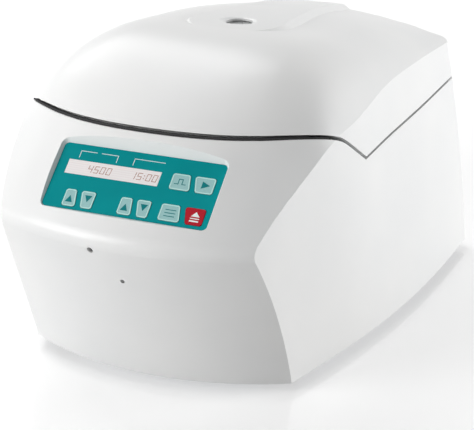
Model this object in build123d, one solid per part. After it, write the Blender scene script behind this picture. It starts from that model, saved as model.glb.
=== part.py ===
from build123d import *
import math
import os

# Benchtop centrifuge with a domed lid, a sloping control panel and an eight-place angle rotor.
# Millimetres. +X is to the right seen from the front, +Y to the back and +Z up.
# The origin is on the bench, under the middle of the footprint.

# Overall size of the casing
front_y = -176.5
rear_y = 176.5
under_z = 7.0
wall = 3.0

# Hood: the outline over the middle, from the front crease to the rear top edge, as (y, z)
crease_z = 116.0
centre_outline = [
    (front_y, crease_z),
    (front_y + 28.8, 147.8),
    (front_y + 60.3, 172.3),
    (front_y + 101.2, 197.3),
    (front_y + 141.2, 208.2),
    (rear_y - 144.5, 201.6),
    (rear_y - 64.7, 191.7),
    (rear_y, 180.8),
]
# The same outline over the lid's side edge, and how sharply each point bends towards it
edge_x = 108.0
edge_outline = [
    (front_y + 29.4, crease_z),
    (front_y + 56.9, 139.1),
    (front_y + 84.0, 155.0),
    (front_y + 97.3, 161.2),
    (front_y + 148.3, 168.5),
    (rear_y - 129.4, 169.8),
    (rear_y - 55.9, 167.6),
    (rear_y, 164.6),
]
plan_power = [2.0, 2.2, 2.1, 2.0, 2.0, 2.0, 2.0, 2.0]
crown_power = [2.0, 3.3, 4.1, 4.8, 5.3, 5.2, 3.7, 2.0]
beyond_edge_drop = 1.3
beyond_edge_run = 0.5
hood_stations = [0.0, 18.0, 36.0, 54.0, 70.0, 84.0, 96.0, 105.0, 112.0, 122.0, 134.0]
hood_steps = 12
crease_soft = 7.0

# Lower front face: it leans back from the crease to the bottom edge, slightly hollow
bottom_front_y = -132.8
bottom_front_radius = 187.0
front_hollow = 2.0

# Side faces in plan, as (y, x) at the bottom, and (y, x) at the height of the lid's edge
side_low = [(-190, 70), (-158, 80), (-108, 93), (-36, 111), (12, 120), (79, 127.5), (142, 130), (190, 130.5)]
side_high = [(-190, 73), (-158, 87), (-108, 101.3), (-70, 107.8), (12, 108.4), (79, 108.4), (142, 108.2),
             (190, 108)]
side_high_z = 165.0
side_bulge = 2.5
rear_corner = 6.0
top_limit = 215.0

# Seam between the lid and the casing, in side view
seam_front_z = 170.3
seam_rear_z = 137.0
seam_slope_y = -26.0
seam_slope_angle = 32.9
seam_bend = 84.0
seam_front_gap = 2.6
seam_side_gap = 1.8

# Raised tongue on the lid, from the viewport to the rear edge: its top line as (y, z)
rotor_y = 26.0
tongue_top = [
    (-22.0, 207.4),
    (26.0, 205.4),
    (49.0, 203.2),
    (77.0, 199.8),
    (120.0, 194.1),
    (154.0, 188.0),
    (186.0, 181.4),
]
tongue_radius = 33.0
tongue_rear_half = 17.0
tongue_wall_angle = 32.0

# Viewport over the rotor's axis
viewport_d = 19.0
viewport_top_z = 204.0
viewport_dish_d = 29.0
viewport_lip = 1.5
viewport_thick = 3.0

# Chamber: pocket in the casing's top, bowl and gasket
pocket_radius = 100.5
pocket_z = 131.0
bowl_inner_radius = 93.0
bowl_sheet = 1.0
bowl_floor_z = 76.0
bowl_corner = 12.0
bowl_hole_radius = 26.0
gasket_height = 5.7

# Lid lining
lining = 2.5
lining_gap = 0.3
lining_side_gap = 1.0
lining_dome_radius = 62.0
lining_dome_z = 186.0
seal_gap = 0.3

# Hinge at the rear
lug_round = 4.8
lug_clear = 0.3
hinge_pin_d = 4.0
hinge_x = 70.0
tower_width = 10.0
tower_round = 4.3
tower_shoe = 6.0
tower_shoe_reach = 14.0
tower_slot_clear = 0.3
lug_width = 6.0
lug_reach = 25.0
hinge_side_gap = 0.6
pin_end = 1.5
pin_play = 0.05
pin_hold = 0.01
tower_notch_height = 8.0

# Front control panel, measured from the middle of its bottom edge
panel_y = -159.9
panel_z = 127.2
panel_tilt = 39.7
panel_width = 112.2
panel_height = 46.5
panel_thick = 1.0
panel_corner = 3.0
panel_floor = 3.0
window_left = -49.2
window_right = 15.1
window_low = 24.8
window_high = 35.0
key_gap = 0.25
key_raise = 0.3
key_travel = 0.35
key_flange = 0.6
key_stem = 2.6
key_corner = 1.6
side_reach = 145.0
board_depth = 13.0
board_thick = 1.6

# Keys as (name, left bottom, left top, right top, right bottom, low, high)
key_shapes = [
    ("key_speed_up", -42.6, -42.6, -35.7, -33.3, 2.0, 13.8),
    ("key_speed_down", -29.4, -32.0, -22.1, -22.1, 2.0, 13.8),
    ("key_time_up", -4.5, -4.5, 2.9, 5.0, 2.0, 13.8),
    ("key_time_down", 9.2, 6.3, 16.0, 16.0, 2.0, 13.8),
    ("key_impulse", 23.2, 23.2, 34.7, 37.0, 24.5, 35.6),
    ("key_start", 40.8, 38.0, 52.0, 52.0, 24.5, 35.6),
    ("key_open_lid", 23.2, 23.2, 35.1, 37.6, 2.4, 13.8),
    ("key_stop", 41.7, 38.7, 52.4, 52.4, 2.4, 13.8),
]

# Lid lock
spindle_x = -14.7
spindle_z = 108.8
spindle_hole_d = 4.2
lock_y = -98.0
sound_hole_x = 1.9
sound_hole_z = 86.5
sound_hole_d = 3.0
striker_thick = 3.0
striker_width = 14.0
striker_low_z = 141.0
window_floor_z = 144.7
window_roof_z = 155.0
hook_low_z = 145.7
hook_high_z = 150.2
lever_thick = 5.0
solenoid_z = 127.0

# Motor and rotor
motor_plate_thick = 3.0
motor_radius = 42.0
motor_height = 42.0
shaft_d = 10.0
rotor_low_z = 84.5
rotor_hub_z = 96.0
rotor_wells = 8
well_d = 17.6
well_angle = 33.0
well_bottom_radius = 76.0
well_bottom_z = 96.0

# Rear fittings
inlet_width = 27.6
inlet_height = 31.0
switch_width = 19.0
switch_height = 27.6
fitting_gap = 0.3
vent_slots = 9
vent_pitch = 7.0
vent_width = 3.0
vent_height = 38.0
vent_rise = 8.0

# Base plate and feet
post_height = 16.0
post_blind = 3.0
screw_clear = 0.1
base_plate_thick = 1.5
base_plate_gap = 0.5
foot_d = 22.0
feet_places = [(-78.0, -88.0), (78.0, -88.0), (-104.0, 148.0), (104.0, 148.0)]
boss_d = 9.0
screw_d = 3.0
boss_places = [(-70.0, -104.0), (70.0, -104.0), (-103.5, -18.0), (103.5, -18.0), (-114.0, 120.0),
               (114.0, 120.0)]

# Mains inlet, fuse drawer and switch at the rear
inlet_x = -72.0
inlet_z = 40.0
switch_x = -30.0
rear_vent_x = 40.0


def hood_points(x, inset):
    """Outline of the hood over the plane at x, moved inwards by inset."""
    share = min(abs(x), edge_x) / edge_x
    beyond = max(abs(x) - edge_x, 0.0)
    points = []
    for centre, edge, plan, crown in zip(centre_outline, edge_outline, plan_power, crown_power):
        y = centre[0] + (edge[0] - centre[0]) * share**plan
        z = centre[1] + (edge[1] - centre[1]) * share**crown
        points.append((y + beyond * beyond_edge_run, z - beyond * beyond_edge_drop))
    points[0] = (points[0][0], crease_z)
    last = points[-1]
    before = points[-2]
    slope = (last[1] - before[1]) / (last[0] - before[0])
    points.append((last[0] + 12.0, last[1] + 12.0 * slope))
    if inset == 0:
        return points
    moved = []
    for index, point in enumerate(points):
        ahead = points[min(index + 1, len(points) - 1)]
        behind = points[max(index - 1, 0)]
        if index == 0:
            moved.append((point[0] + inset * 1.15, point[1]))
            continue
        run = ahead[0] - behind[0]
        rise = ahead[1] - behind[1]
        length = math.hypot(run, rise)
        moved.append((point[0] + inset * rise / length, point[1] - inset * run / length))
    return moved


def hood_section(x, inset):
    """Closed outline of the whole body over the plane at x."""
    points = hood_points(x, inset)
    floor_z = under_z - 4.0
    sag = bottom_front_radius - math.sqrt(bottom_front_radius**2 - min(abs(x), 150.0) ** 2)
    foot_y = bottom_front_y + sag + inset * 1.1
    crease = Vector(x, points[0][0], points[0][1])
    lean = (points[0][0] - foot_y) / (crease_z - under_z)
    foot = Vector(x, foot_y - lean * (under_z - floor_z), floor_z)
    second = Vector(x, points[1][0], points[1][1])
    down = (foot - crease).normalized()
    up = (second - crease).normalized()
    # the soft edge's own corner stands forward, so that the edge itself reaches the crease
    crease = crease - (down + up) * (crease_soft / 4.0)
    low_end = crease + down * crease_soft
    high_start = crease + up * crease_soft
    middle = (foot + low_end) * 0.5 + Vector(0, front_hollow, 0)
    top = [high_start] + [Vector(x, y, z) for y, z in points[1:]]
    end_way = (top[-1] - top[-2]).normalized()
    back = Vector(x, points[-1][0], floor_z)
    # every section is divided in the same even steps, so that the hood between them has no waves
    steps = [step / hood_steps for step in range(hood_steps + 1)]
    rough = Spline(*top, tangents=[up, end_way])
    even = [rough @ step for step in steps]
    edges = [
        ThreePointArc(foot, middle, low_end),
        Bezier(low_end, crease, high_start),
        Edge.make_spline(even, parameters=steps),
        Line(even[-1], back),
        Line(back, foot),
    ]
    return Wire(edges)


def hood_solid(inset):
    stations = [-x for x in reversed(hood_stations[1:])] + hood_stations
    return Solid.make_loft([hood_section(x, inset) for x in stations])


def side_section(z, inset):
    """Closed plan outline of the side faces at height z."""
    share = (z - under_z) / (side_high_z - under_z)
    right = []
    for low, high in zip(side_low, side_high):
        y = low[0] + (high[0] - low[0]) * min(share, 1.0)
        x = low[1] + (high[1] - low[1]) * share + 4.0 * side_bulge * share * (1.0 - share)
        right.append((x - inset, y))
    rear = rear_y - inset
    # the side curve stops a corner radius short of the rear face
    before = [p for p in right if p[1] < rear - rear_corner - 10.0]
    after = right[len(before)]
    last = before[-1]
    part = (rear - rear_corner - last[1]) / (after[1] - last[1])
    side_end = (last[0] + (after[0] - last[0]) * part, rear - rear_corner)
    curve = [Vector(x, y, z) for x, y in before + [side_end]]
    mirror_curve = [Vector(-v.X, v.Y, z) for v in curve]
    right_rear = Vector(side_end[0] - rear_corner, rear, z)
    left_rear = Vector(-right_rear.X, rear, z)
    edges = [
        Spline(*curve),
        Bezier(curve[-1], Vector(side_end[0], rear, z), right_rear),
        Line(right_rear, left_rear),
        Bezier(left_rear, Vector(-side_end[0], rear, z), mirror_curve[-1]),
        Spline(*reversed(mirror_curve)),
        Line(mirror_curve[0], curve[0]),
    ]
    return Wire(edges)


def side_solid(inset, bottom):
    middle = (under_z + side_high_z) / 2.0
    levels = [bottom, under_z + 40.0, middle, side_high_z - 35.0, side_high_z, top_limit]
    return Solid.make_loft([side_section(z, inset) for z in levels])


def envelope(inset=0.0):
    """The whole outer form, or that form moved inwards and open below the casing."""
    bottom = under_z if inset == 0 else under_z - 3.0
    return hood_solid(inset) & side_solid(inset, bottom)


def seam_face(shift_front, shift_side, top):
    """Side view of the space over the seam, its front and side runs moved up by the shifts."""
    slope = math.tan(math.radians(seam_slope_angle))
    turn = math.radians(seam_slope_angle)
    front_end = front_y - 30.0
    rear_end = rear_y + 30.0
    front_z = seam_front_z + shift_front
    rear_z = seam_rear_z + shift_side
    corner_y = seam_slope_y - (seam_front_z - seam_rear_z) / slope
    foot_y = seam_slope_y - (shift_side - shift_front) / slope
    reach = seam_bend * math.tan(turn / 2.0)
    start = Vector(0, corner_y - reach, front_z)
    end = Vector(0, corner_y + reach * math.cos(turn), front_z - reach * math.sin(turn))
    centre = start - Vector(0, 0, seam_bend)
    middle = centre + Vector(0, math.sin(turn / 2.0), math.cos(turn / 2.0)) * seam_bend
    foot = Vector(0, foot_y, rear_z)
    edges = [
        Line((0, front_end, front_z), start),
        ThreePointArc(start, middle, end),
        Line(end, foot),
        Line(foot, (0, rear_end, rear_z)),
        Line((0, rear_end, rear_z), (0, rear_end, top)),
        Line((0, rear_end, top), (0, front_end, top)),
        Line((0, front_end, top), (0, front_end, front_z)),
    ]
    return Face(Wire(edges))


def over_seam(shift_front, shift_side, top=top_limit + 20.0):
    """The space over the seam as a solid right across the body."""
    face = seam_face(shift_front, shift_side, top)
    half = side_reach
    return extrude(face.moved(Location((-half, 0, 0))), amount=2.0 * half, dir=(1, 0, 0))


def block(x0, x1, y0, y1, z0, z1):
    """Box between two corners."""
    box = Box(abs(x1 - x0), abs(y1 - y0), abs(z1 - z0))
    return Pos((x0 + x1) / 2.0, (y0 + y1) / 2.0, (z0 + z1) / 2.0) * box


def rod(radius, z0, z1, x=0.0, y=0.0):
    """Upright cylinder from z0 to z1."""
    return Pos(x, y, (z0 + z1) / 2.0) * Cylinder(radius, z1 - z0)


def rod_x(radius, x0, x1, y, z):
    """Cylinder lying along X."""
    return Pos((x0 + x1) / 2.0, y, z) * Rot(0, 90, 0) * Cylinder(radius, abs(x1 - x0))


def rod_y(radius, y0, y1, x, z):
    """Cylinder lying along Y."""
    return Pos(x, (y0 + y1) / 2.0, z) * Rot(90, 0, 0) * Cylinder(radius, abs(y1 - y0))


def turned(points):
    """Solid of revolution about the rotor's axis, from (radius, z) points."""
    outline = Polyline(*[(r, 0, z) for r, z in points], close=True)
    solid = revolve(make_face(outline), axis=Axis.Z, revolution_arc=360)
    return Pos(0, rotor_y, 0) * solid


def one(shape):
    """The single solid in a result, or the whole result when it has several."""
    found = shape.solids()
    if len(found) == 1:
        return found[0]
    return Compound(children=list(found))


def group(shapes):
    """Several separate solids under one name."""
    solids = []
    for shape in shapes:
        solids.extend(shape.solids())
    return Compound(children=solids)


def both_sides(shape):
    """A shape and its mirror image in the middle plane."""
    return group([shape, mirror(shape, about=Plane.YZ)])


def save(name, shape):
    """Write one sub-part under its node's name."""
    export_step(shape, os.path.join("parts", name + ".step"))


os.makedirs("parts", exist_ok=True)

# Places worked out from the sizes above
casing_top_front = -seam_front_gap / 2.0
casing_top_side = -seam_side_gap / 2.0
lid_low_front = seam_front_gap / 2.0
lid_low_side = seam_side_gap / 2.0
deck = wall
deck_low_z = seam_rear_z + casing_top_side - deck
lid_low_z = seam_rear_z + lid_low_side
hinge_radius = wall + lug_clear + lug_round
hinge_y = rear_y - hinge_radius
hinge_z = lid_low_z + hinge_radius
plate_low_z = under_z + base_plate_gap
plate_top_z = plate_low_z + base_plate_thick
panel_plane = Plane(
    origin=(0, panel_y, panel_z),
    x_dir=(1, 0, 0),
    z_dir=(0, -math.sin(math.radians(panel_tilt)), math.cos(math.radians(panel_tilt))),
)
panel_floor_low = -panel_thick - panel_floor
board_top = -board_depth
board_under = -board_depth - board_thick
bowl_outer_radius = bowl_inner_radius + bowl_sheet


def on_panel(shape):
    """Moves a shape drawn in the panel's own axes to its place."""
    return panel_plane.location * shape


def panel_block(x0, x1, y0, y1, z0, z1):
    return on_panel(block(x0, x1, y0, y1, z0, z1))


def key_outline(key, grow):
    """Rounded trapezium of one key, grown all round, in the panel's axes."""
    name, left_low, left_high, right_high, right_low, low, high = key
    corners = [
        (left_low - grow, low - grow),
        (right_low + grow, low - grow),
        (right_high + grow, high + grow),
        (left_high - grow, high + grow),
    ]
    face = make_face(Polyline(*corners, close=True))
    return fillet(face.vertices(), key_corner)


def key_prism(key, grow, z0, z1):
    return on_panel(Pos(0, 0, z0) * extrude(key_outline(key, grow), amount=z1 - z0))


def key_centre(key):
    name, left_low, left_high, right_high, right_low, low, high = key
    return (left_low + left_high + right_high + right_low) / 4.0, (low + high) / 2.0


# The outer form, whole and moved inwards, shared by the casing, the lid and the base plate
whole = envelope()
hollow = envelope(wall)
inner = envelope(wall + lining_gap)
under_cut = over_seam(casing_top_front, casing_top_side)
under_deck = over_seam(casing_top_front - deck, casing_top_side - deck)
over_cut = over_seam(lid_low_front, lid_low_side)
over_lining = over_seam(lid_low_front + lining, lid_low_side + lining)


# Hinge: towers on the casing, brackets in the lid and pins, drawn for the right side
tower_x0 = hinge_x - tower_width / 2.0
tower_x1 = hinge_x + tower_width / 2.0
outer_lug_x0 = tower_x1 + hinge_side_gap
outer_lug_x1 = outer_lug_x0 + lug_width
inner_lug_x1 = tower_x0 - hinge_side_gap
inner_lug_x0 = inner_lug_x1 - lug_width
stem_front_y = hinge_y - tower_round
stem_rear_y = hinge_y + tower_round
bracket_low_z = lid_low_z + lining
bracket_front_y = hinge_y - lug_reach


def hinge_tower():
    low = deck_low_z - tower_shoe
    stem = block(tower_x0, tower_x1, stem_front_y, stem_rear_y, low, hinge_z)
    head = rod_x(tower_round, tower_x0, tower_x1, hinge_y, hinge_z)
    front = stem_front_y - tower_shoe_reach
    shoe = block(tower_x0 - tower_shoe, tower_x1 + tower_shoe, front, stem_rear_y, low, deck_low_z)
    bore = rod_x(hinge_pin_d / 2.0 + pin_hold, tower_x0 - 1.0, tower_x1 + 1.0, hinge_y, hinge_z)
    return one(stem + head + shoe - bore)


def hinge_bracket():
    web_rear_y = hinge_y - tower_round - hinge_radius
    bracket = block(inner_lug_x0, outer_lug_x1, bracket_front_y, web_rear_y,
                    bracket_low_z, bracket_low_z + lining)
    for x0, x1 in ((inner_lug_x0, inner_lug_x1), (outer_lug_x0, outer_lug_x1)):
        bracket = bracket + block(x0, x1, bracket_front_y, hinge_y, bracket_low_z, hinge_z + lug_round)
        bracket = bracket + rod_x(lug_round, x0, x1, hinge_y, hinge_z)
    bore = rod_x(hinge_pin_d / 2.0 + pin_play, inner_lug_x0 - 1.0, outer_lug_x1 + 1.0, hinge_y, hinge_z)
    return one(bracket - bore)


def hinge_pin():
    return rod_x(hinge_pin_d / 2.0, inner_lug_x0 - pin_end, outer_lug_x1 + pin_end, hinge_y, hinge_z)


save("hinge_towers", both_sides(hinge_tower()))
save("hinge_brackets", both_sides(hinge_bracket()))
save("hinge_pins", both_sides(hinge_pin()))


# Casing
board_post_places = [(-57.5, 3.0), (57.5, 3.0), (-57.5, 43.0), (57.5, 43.0)]
board_post_radius = 2.6
backing_side = 5.0
backing_low = 7.0
window_ledge = 1.0
recess_gap = 0.2
# The walls of the panel's recess lean outwards, so that no lip hides the lower keys
recess_slant = 32.0
recess_reach = 14.0
slot_half = 3.2
sounder_radius = 8.0
sounder_front_y = -155.0
sounder_rear_y = -146.0
collar_wall = 1.5
slot_front = 1.2
slot_rear = 3.0


def screw_posts():
    """Posts for the base plate's screws, with ribs to the side walls."""
    posts = None
    for x, y in boss_places:
        out = 1.0 if x > 0 else -1.0
        post = rod(boss_d / 2.0, plate_top_z, plate_top_z + post_height, x, y)
        rib = block(x, x + out * 30.0, y - 1.5, y + 1.5, plate_top_z, plate_top_z + post_height)
        posts = post + rib if posts is None else posts + post + rib
    return posts & whole


def rear_openings():
    """Holes through the rear wall."""
    y0 = rear_y - wall - 4.0
    y1 = rear_y + 4.0
    holes = block(inlet_x - inlet_width / 2, inlet_x + inlet_width / 2, y0, y1,
                  inlet_z - inlet_height / 2, inlet_z + inlet_height / 2)
    holes = holes + block(switch_x - switch_width / 2, switch_x + switch_width / 2, y0, y1,
                          inlet_z - switch_height / 2, inlet_z + switch_height / 2)
    for index in range(vent_slots):
        x = rear_vent_x + (index - (vent_slots - 1) / 2.0) * vent_pitch
        slot = extrude(SlotOverall(vent_height, vent_width, rotation=90), amount=10.0, both=True)
        holes = holes + Pos(x, rear_y - wall / 2, inlet_z + vent_rise) * Rot(90, 0, 0) * slot
    return holes


def casing():
    body = whole - under_cut
    room = hollow - under_deck
    room = room - turned([(0, pocket_z - deck), (pocket_radius + wall, pocket_z - deck),
                          (pocket_radius + wall, top_limit), (0, top_limit)])
    half = panel_width / 2.0
    room = room - panel_block(-half - backing_side, half + backing_side, -backing_low,
                              panel_height + backing_side, panel_floor_low, 30)
    for x, h in board_post_places:
        room = room - on_panel(rod(board_post_radius, board_top, panel_floor_low + 1.0, x, h))
    collar = rod_y(sounder_radius + collar_wall, front_y, sounder_rear_y - 3.0, sound_hole_x, sound_hole_z)
    bore = rod_y(sounder_radius + screw_clear, front_y, rear_y, sound_hole_x, sound_hole_z)
    room = room - (collar - bore)
    body = body - room
    body = body - turned([(0, pocket_z), (pocket_radius, pocket_z),
                          (pocket_radius, top_limit), (0, top_limit)])
    open_radius = bowl_outer_radius + 0.5
    body = body - turned([(0, 0), (open_radius, 0), (open_radius, top_limit), (0, top_limit)])
    recess_face = RectangleRounded(panel_width + 2 * recess_gap, panel_height + 2 * recess_gap,
                                   panel_corner + recess_gap)
    recess = Pos(0, panel_height / 2.0, -panel_thick) * extrude(recess_face, amount=panel_thick + 1.0)
    spread = recess_gap + recess_reach * math.tan(math.radians(recess_slant))
    mouth_face = RectangleRounded(panel_width + 2 * spread, panel_height + 2 * spread, panel_corner + spread)
    mouth_face = Pos(0, 0, recess_reach) * mouth_face
    funnel = Pos(0, panel_height / 2.0, 0) * loft([recess_face.face(), mouth_face.face()])
    body = body - on_panel(recess) - on_panel(funnel)
    body = body - panel_block(window_left + window_ledge, window_right - window_ledge,
                              window_low + window_ledge, window_high - window_ledge, -20, 5)
    for key in key_shapes:
        body = body - key_prism(key, key_gap, panel_floor_low - 1.0, 1.0)
    for x, h in board_post_places:
        body = body - on_panel(rod(screw_d / 2.0 + screw_clear, board_top - 1.0, panel_floor_low - 0.5, x, h))
    body = body - rod_y(spindle_hole_d / 2.0, front_y - 5, front_y + 25, spindle_x, spindle_z)
    body = body - rod_y(sound_hole_d / 2.0, front_y - 5, front_y + 35, sound_hole_x, sound_hole_z)
    body = body - block(-slot_half, slot_half, lock_y - striker_width / 2 - slot_front,
                        lock_y + striker_width / 2 + slot_rear, 155, 190)
    for side in (1.0, -1.0):
        x0, x1 = sorted((side * (tower_x0 - tower_slot_clear), side * (tower_x1 + tower_slot_clear)))
        body = body - block(x0, x1, stem_front_y - tower_slot_clear, stem_rear_y + tower_slot_clear,
                            deck_low_z - 1, hinge_z)
    body = body - rear_openings()
    body = body + screw_posts()
    for x, y in boss_places:
        body = body - rod(screw_d / 2.0 + screw_clear, 0, plate_top_z + post_height - post_blind, x, y)
    return one(body)


save("casing", casing())


# Base plate, feet and the casing's screws
screw_head_radius = 2.9
screw_head_height = 1.9
screw_length = 10.0
screw_hole_radius = 1.7
foot_plug_radius = 3.0
foot_lip_radius = 4.5
foot_plug_gap = 0.2
damper_angles = [90.0, 210.0, 330.0]
damper_ring = 52.0
damper_radius = 10.0
damper_height = 14.0
stud_radius = 2.0
stud_gap = 0.1
stud_hole_gap = 0.2
stud_depth = 5.0
stud_head_radius = 3.5
stud_head_height = 1.5
plate_vent_rows = 9
plate_vent_length = 50.0
plate_vent_width = 3.0
plate_vent_pitch = 8.0
plate_vent_y = -108.0


def damper_places():
    places = []
    for angle in damper_angles:
        turn = math.radians(angle)
        places.append((damper_ring * math.cos(turn), rotor_y + damper_ring * math.sin(turn)))
    return places


def base_plate():
    slab = block(-side_reach, side_reach, front_y, rear_y, plate_low_z, plate_top_z)
    plate = inner & slab
    for x, y in boss_places:
        plate = plate - rod(screw_hole_radius, 0, 20, x, y)
    for x, y in feet_places:
        plate = plate - rod(foot_plug_radius + foot_plug_gap, 0, 20, x, y)
    for x, y in damper_places():
        plate = plate - rod(stud_radius + stud_hole_gap, 0, 20, x, y)
    for index in range(plate_vent_rows):
        x = (index - (plate_vent_rows - 1) / 2.0) * plate_vent_pitch
        slot = extrude(SlotOverall(plate_vent_length, plate_vent_width, rotation=90), amount=20.0, both=True)
        plate = plate - Pos(x, plate_vent_y + plate_vent_length, 0) * slot
    return one(plate)


def rubber_foot(x, y):
    foot = rod(foot_d / 2.0, 0, plate_low_z, x, y)
    plug = rod(foot_plug_radius, plate_low_z, plate_top_z, x, y)
    lip = rod(foot_lip_radius, plate_top_z, plate_top_z + 1.8, x, y)
    return one(foot + plug + lip)


def pan_screw(length):
    """Screw pointing up, with its head's seat at the origin."""
    return one(rod(screw_head_radius, -screw_head_height, 0) + rod(screw_d / 2.0, 0, length))


base_screws = [Pos(x, y, plate_low_z) * pan_screw(screw_length) for x, y in boss_places]
board_screws = [on_panel(Pos(x, h, board_under) * pan_screw(screw_length)) for x, h in board_post_places]
save("base_plate", base_plate())
save("rubber_feet", group([rubber_foot(x, y) for x, y in feet_places]))
save("casing_screws", group(base_screws + board_screws))


# Chamber bowl and gasket
bowl_flange_radius = 98.5
gasket_inner_radius = 94.5
gasket_outer_radius = 99.5


def rounded_turned(points, radii):
    """Solid of revolution from (radius, z) points whose corners are rounded."""
    count = len(points)
    spots = [Vector(r, 0, z) for r, z in points]
    edges = []
    starts = []
    ends = []
    middles = []
    for index, spot in enumerate(spots):
        radius = radii[index]
        way_in = (spot - spots[index - 1]).normalized()
        way_out = (spots[(index + 1) % count] - spot).normalized()
        if radius == 0:
            starts.append(spot)
            ends.append(spot)
            middles.append(None)
            continue
        turn = math.radians(way_in.get_angle(way_out))
        reach = radius * math.tan(turn / 2.0)
        inward = (way_out - way_in).normalized()
        starts.append(spot - way_in * reach)
        ends.append(spot + way_out * reach)
        middles.append(spot + inward * (radius / math.cos(turn / 2.0) - radius))
    for index in range(count):
        if middles[index] is not None:
            edges.append(ThreePointArc(starts[index], middles[index], ends[index]))
        edges.append(Line(ends[index], starts[(index + 1) % count]))
    return Pos(0, rotor_y, 0) * revolve(Face(Wire(edges)), axis=Axis.Z, revolution_arc=360)


def chamber_bowl():
    floor_top = bowl_floor_z + bowl_sheet
    flange_top = pocket_z + bowl_sheet
    points = [
        (bowl_hole_radius, bowl_floor_z),
        (bowl_outer_radius, bowl_floor_z),
        (bowl_outer_radius, pocket_z),
        (bowl_flange_radius, pocket_z),
        (bowl_flange_radius, flange_top),
        (bowl_inner_radius, flange_top),
        (bowl_inner_radius, floor_top),
        (bowl_hole_radius, floor_top),
    ]
    return rounded_turned(points, [0, bowl_corner, 0, 0, 0, bowl_sheet, bowl_corner - bowl_sheet, 0])


gasket_low_z = pocket_z + bowl_sheet
gasket_top_z = gasket_low_z + gasket_height
gasket = turned([(gasket_inner_radius, gasket_low_z), (gasket_outer_radius, gasket_low_z),
                 (gasket_outer_radius, gasket_top_z - 1.5), (gasket_outer_radius - 1.5, gasket_top_z),
                 (gasket_inner_radius + 1.0, gasket_top_z), (gasket_inner_radius, gasket_top_z - 1.0)])
save("chamber_bowl", chamber_bowl())
save("chamber_gasket", gasket)


# Motor: rubber dampers, plate, housing, stator, end cap, bearings and boot
housing_wall = 2.5
motor_floor = 3.0
bearing_bore = 10.0
bearing_outer = 26.0
bearing_width = 8.0
bearing_gap = 0.05
armature_radius = 24.0
armature_length = 20.0
air_gap = 0.5
armature_z = 38.0
cap_thick = 6.0
cap_boss_radius = 20.0
cap_boss_height = 10.0
motor_plate_radius = 62.0
damper_low_z = plate_top_z
damper_top_z = damper_low_z + damper_height
housing_low_z = damper_top_z + motor_plate_thick
housing_top_z = housing_low_z + motor_height
cap_top_z = housing_top_z + cap_thick
boss_top_z = cap_top_z + cap_boss_height
lower_bearing_z = housing_low_z + motor_floor
upper_bearing_z = cap_top_z
housing_inner = motor_radius - housing_wall
seat_radius = bearing_outer / 2.0 + bearing_gap
core_outer = housing_inner - 0.1
core_inner = armature_radius + air_gap


def motor_damper(x, y):
    body = rod(damper_radius, damper_low_z, damper_top_z, x, y)
    body = body - rod(stud_radius + stud_gap, damper_low_z - 1, damper_low_z + stud_depth + 0.5, x, y)
    return one(body - rod(stud_radius + stud_gap, damper_top_z - stud_depth - 0.5, damper_top_z + 1, x, y))


def stud_up(x, y):
    """Screw through the base plate into a damper."""
    head = rod(stud_head_radius, plate_low_z - stud_head_height, plate_low_z, x, y)
    return one(head + rod(stud_radius, plate_low_z, damper_low_z + stud_depth, x, y))


def stud_down(x, y):
    """Screw through the motor plate into a damper."""
    seat = damper_top_z + motor_plate_thick
    head = rod(stud_head_radius, seat, seat + stud_head_height, x, y)
    return one(head + rod(stud_radius, damper_top_z - stud_depth, seat, x, y))


def motor_plate():
    plate = rod(motor_plate_radius, damper_top_z, housing_low_z, 0, rotor_y)
    for x, y in damper_places():
        plate = plate - rod(stud_radius + stud_hole_gap, damper_top_z - 1, housing_low_z + 1, x, y)
    return one(plate)


def motor_housing():
    outer = [(0, housing_low_z), (motor_radius, housing_low_z), (motor_radius, housing_top_z),
             (housing_inner, housing_top_z), (housing_inner, lower_bearing_z),
             (seat_radius + 3.0, lower_bearing_z), (seat_radius + 3.0, lower_bearing_z + bearing_width),
             (seat_radius, lower_bearing_z + bearing_width), (seat_radius, lower_bearing_z),
             (0, lower_bearing_z)]
    return turned(outer)


def motor_end_cap():
    shoulder = 9.0
    outer = [(shoulder, housing_top_z), (motor_radius, housing_top_z), (motor_radius, cap_top_z),
             (cap_boss_radius, cap_top_z), (cap_boss_radius, boss_top_z), (seat_radius, boss_top_z),
             (seat_radius, cap_top_z), (shoulder, cap_top_z)]
    return turned(outer)


def bearing(low_z):
    """Closed ball bearing: two rings and the shields between them, as one ring."""
    bore = bearing_bore / 2.0 + bearing_gap
    rim = bearing_outer / 2.0
    high_z = low_z + bearing_width
    return turned([(bore, low_z), (bore + 2.5, low_z), (bore + 2.5, low_z + 0.5), (rim - 2.5, low_z + 0.5),
                   (rim - 2.5, low_z), (rim, low_z), (rim, high_z), (rim - 2.5, high_z),
                   (rim - 2.5, high_z - 0.5), (bore + 2.5, high_z - 0.5),
                   (bore + 2.5, high_z), (bore, high_z)])


def ring(inner_radius, outer_radius, z0, z1):
    return turned([(inner_radius, z0), (outer_radius, z0), (outer_radius, z1), (inner_radius, z1)])


core_top_z = armature_z + armature_length
winding_inner = core_inner + 2.0
winding_outer = core_outer - 2.5
lower_winding = ring(winding_inner, winding_outer, armature_z - 5.5, armature_z - 0.1)
upper_winding = ring(winding_inner, winding_outer, core_top_z + 0.1, core_top_z + 5.5)
boot_top_z = bowl_floor_z + bowl_sheet + 6.0
boot_seat_z = bowl_floor_z + bowl_sheet
boot = turned([(cap_boss_radius + 0.05, boot_seat_z), (bowl_hole_radius + 4.0, boot_seat_z),
               (bowl_hole_radius + 4.0, boot_seat_z + 1.5), (cap_boss_radius + 2.0, boot_seat_z + 2.5),
               (cap_boss_radius + 2.0, boot_top_z), (cap_boss_radius + 0.05, boot_top_z)])
save("motor_dampers", group([motor_damper(x, y) for x, y in damper_places()]))
save("damper_screws", group([stud_up(x, y) for x, y in damper_places()]
                            + [stud_down(x, y) for x, y in damper_places()]))
save("motor_plate", motor_plate())
save("motor_housing", motor_housing())
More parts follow.
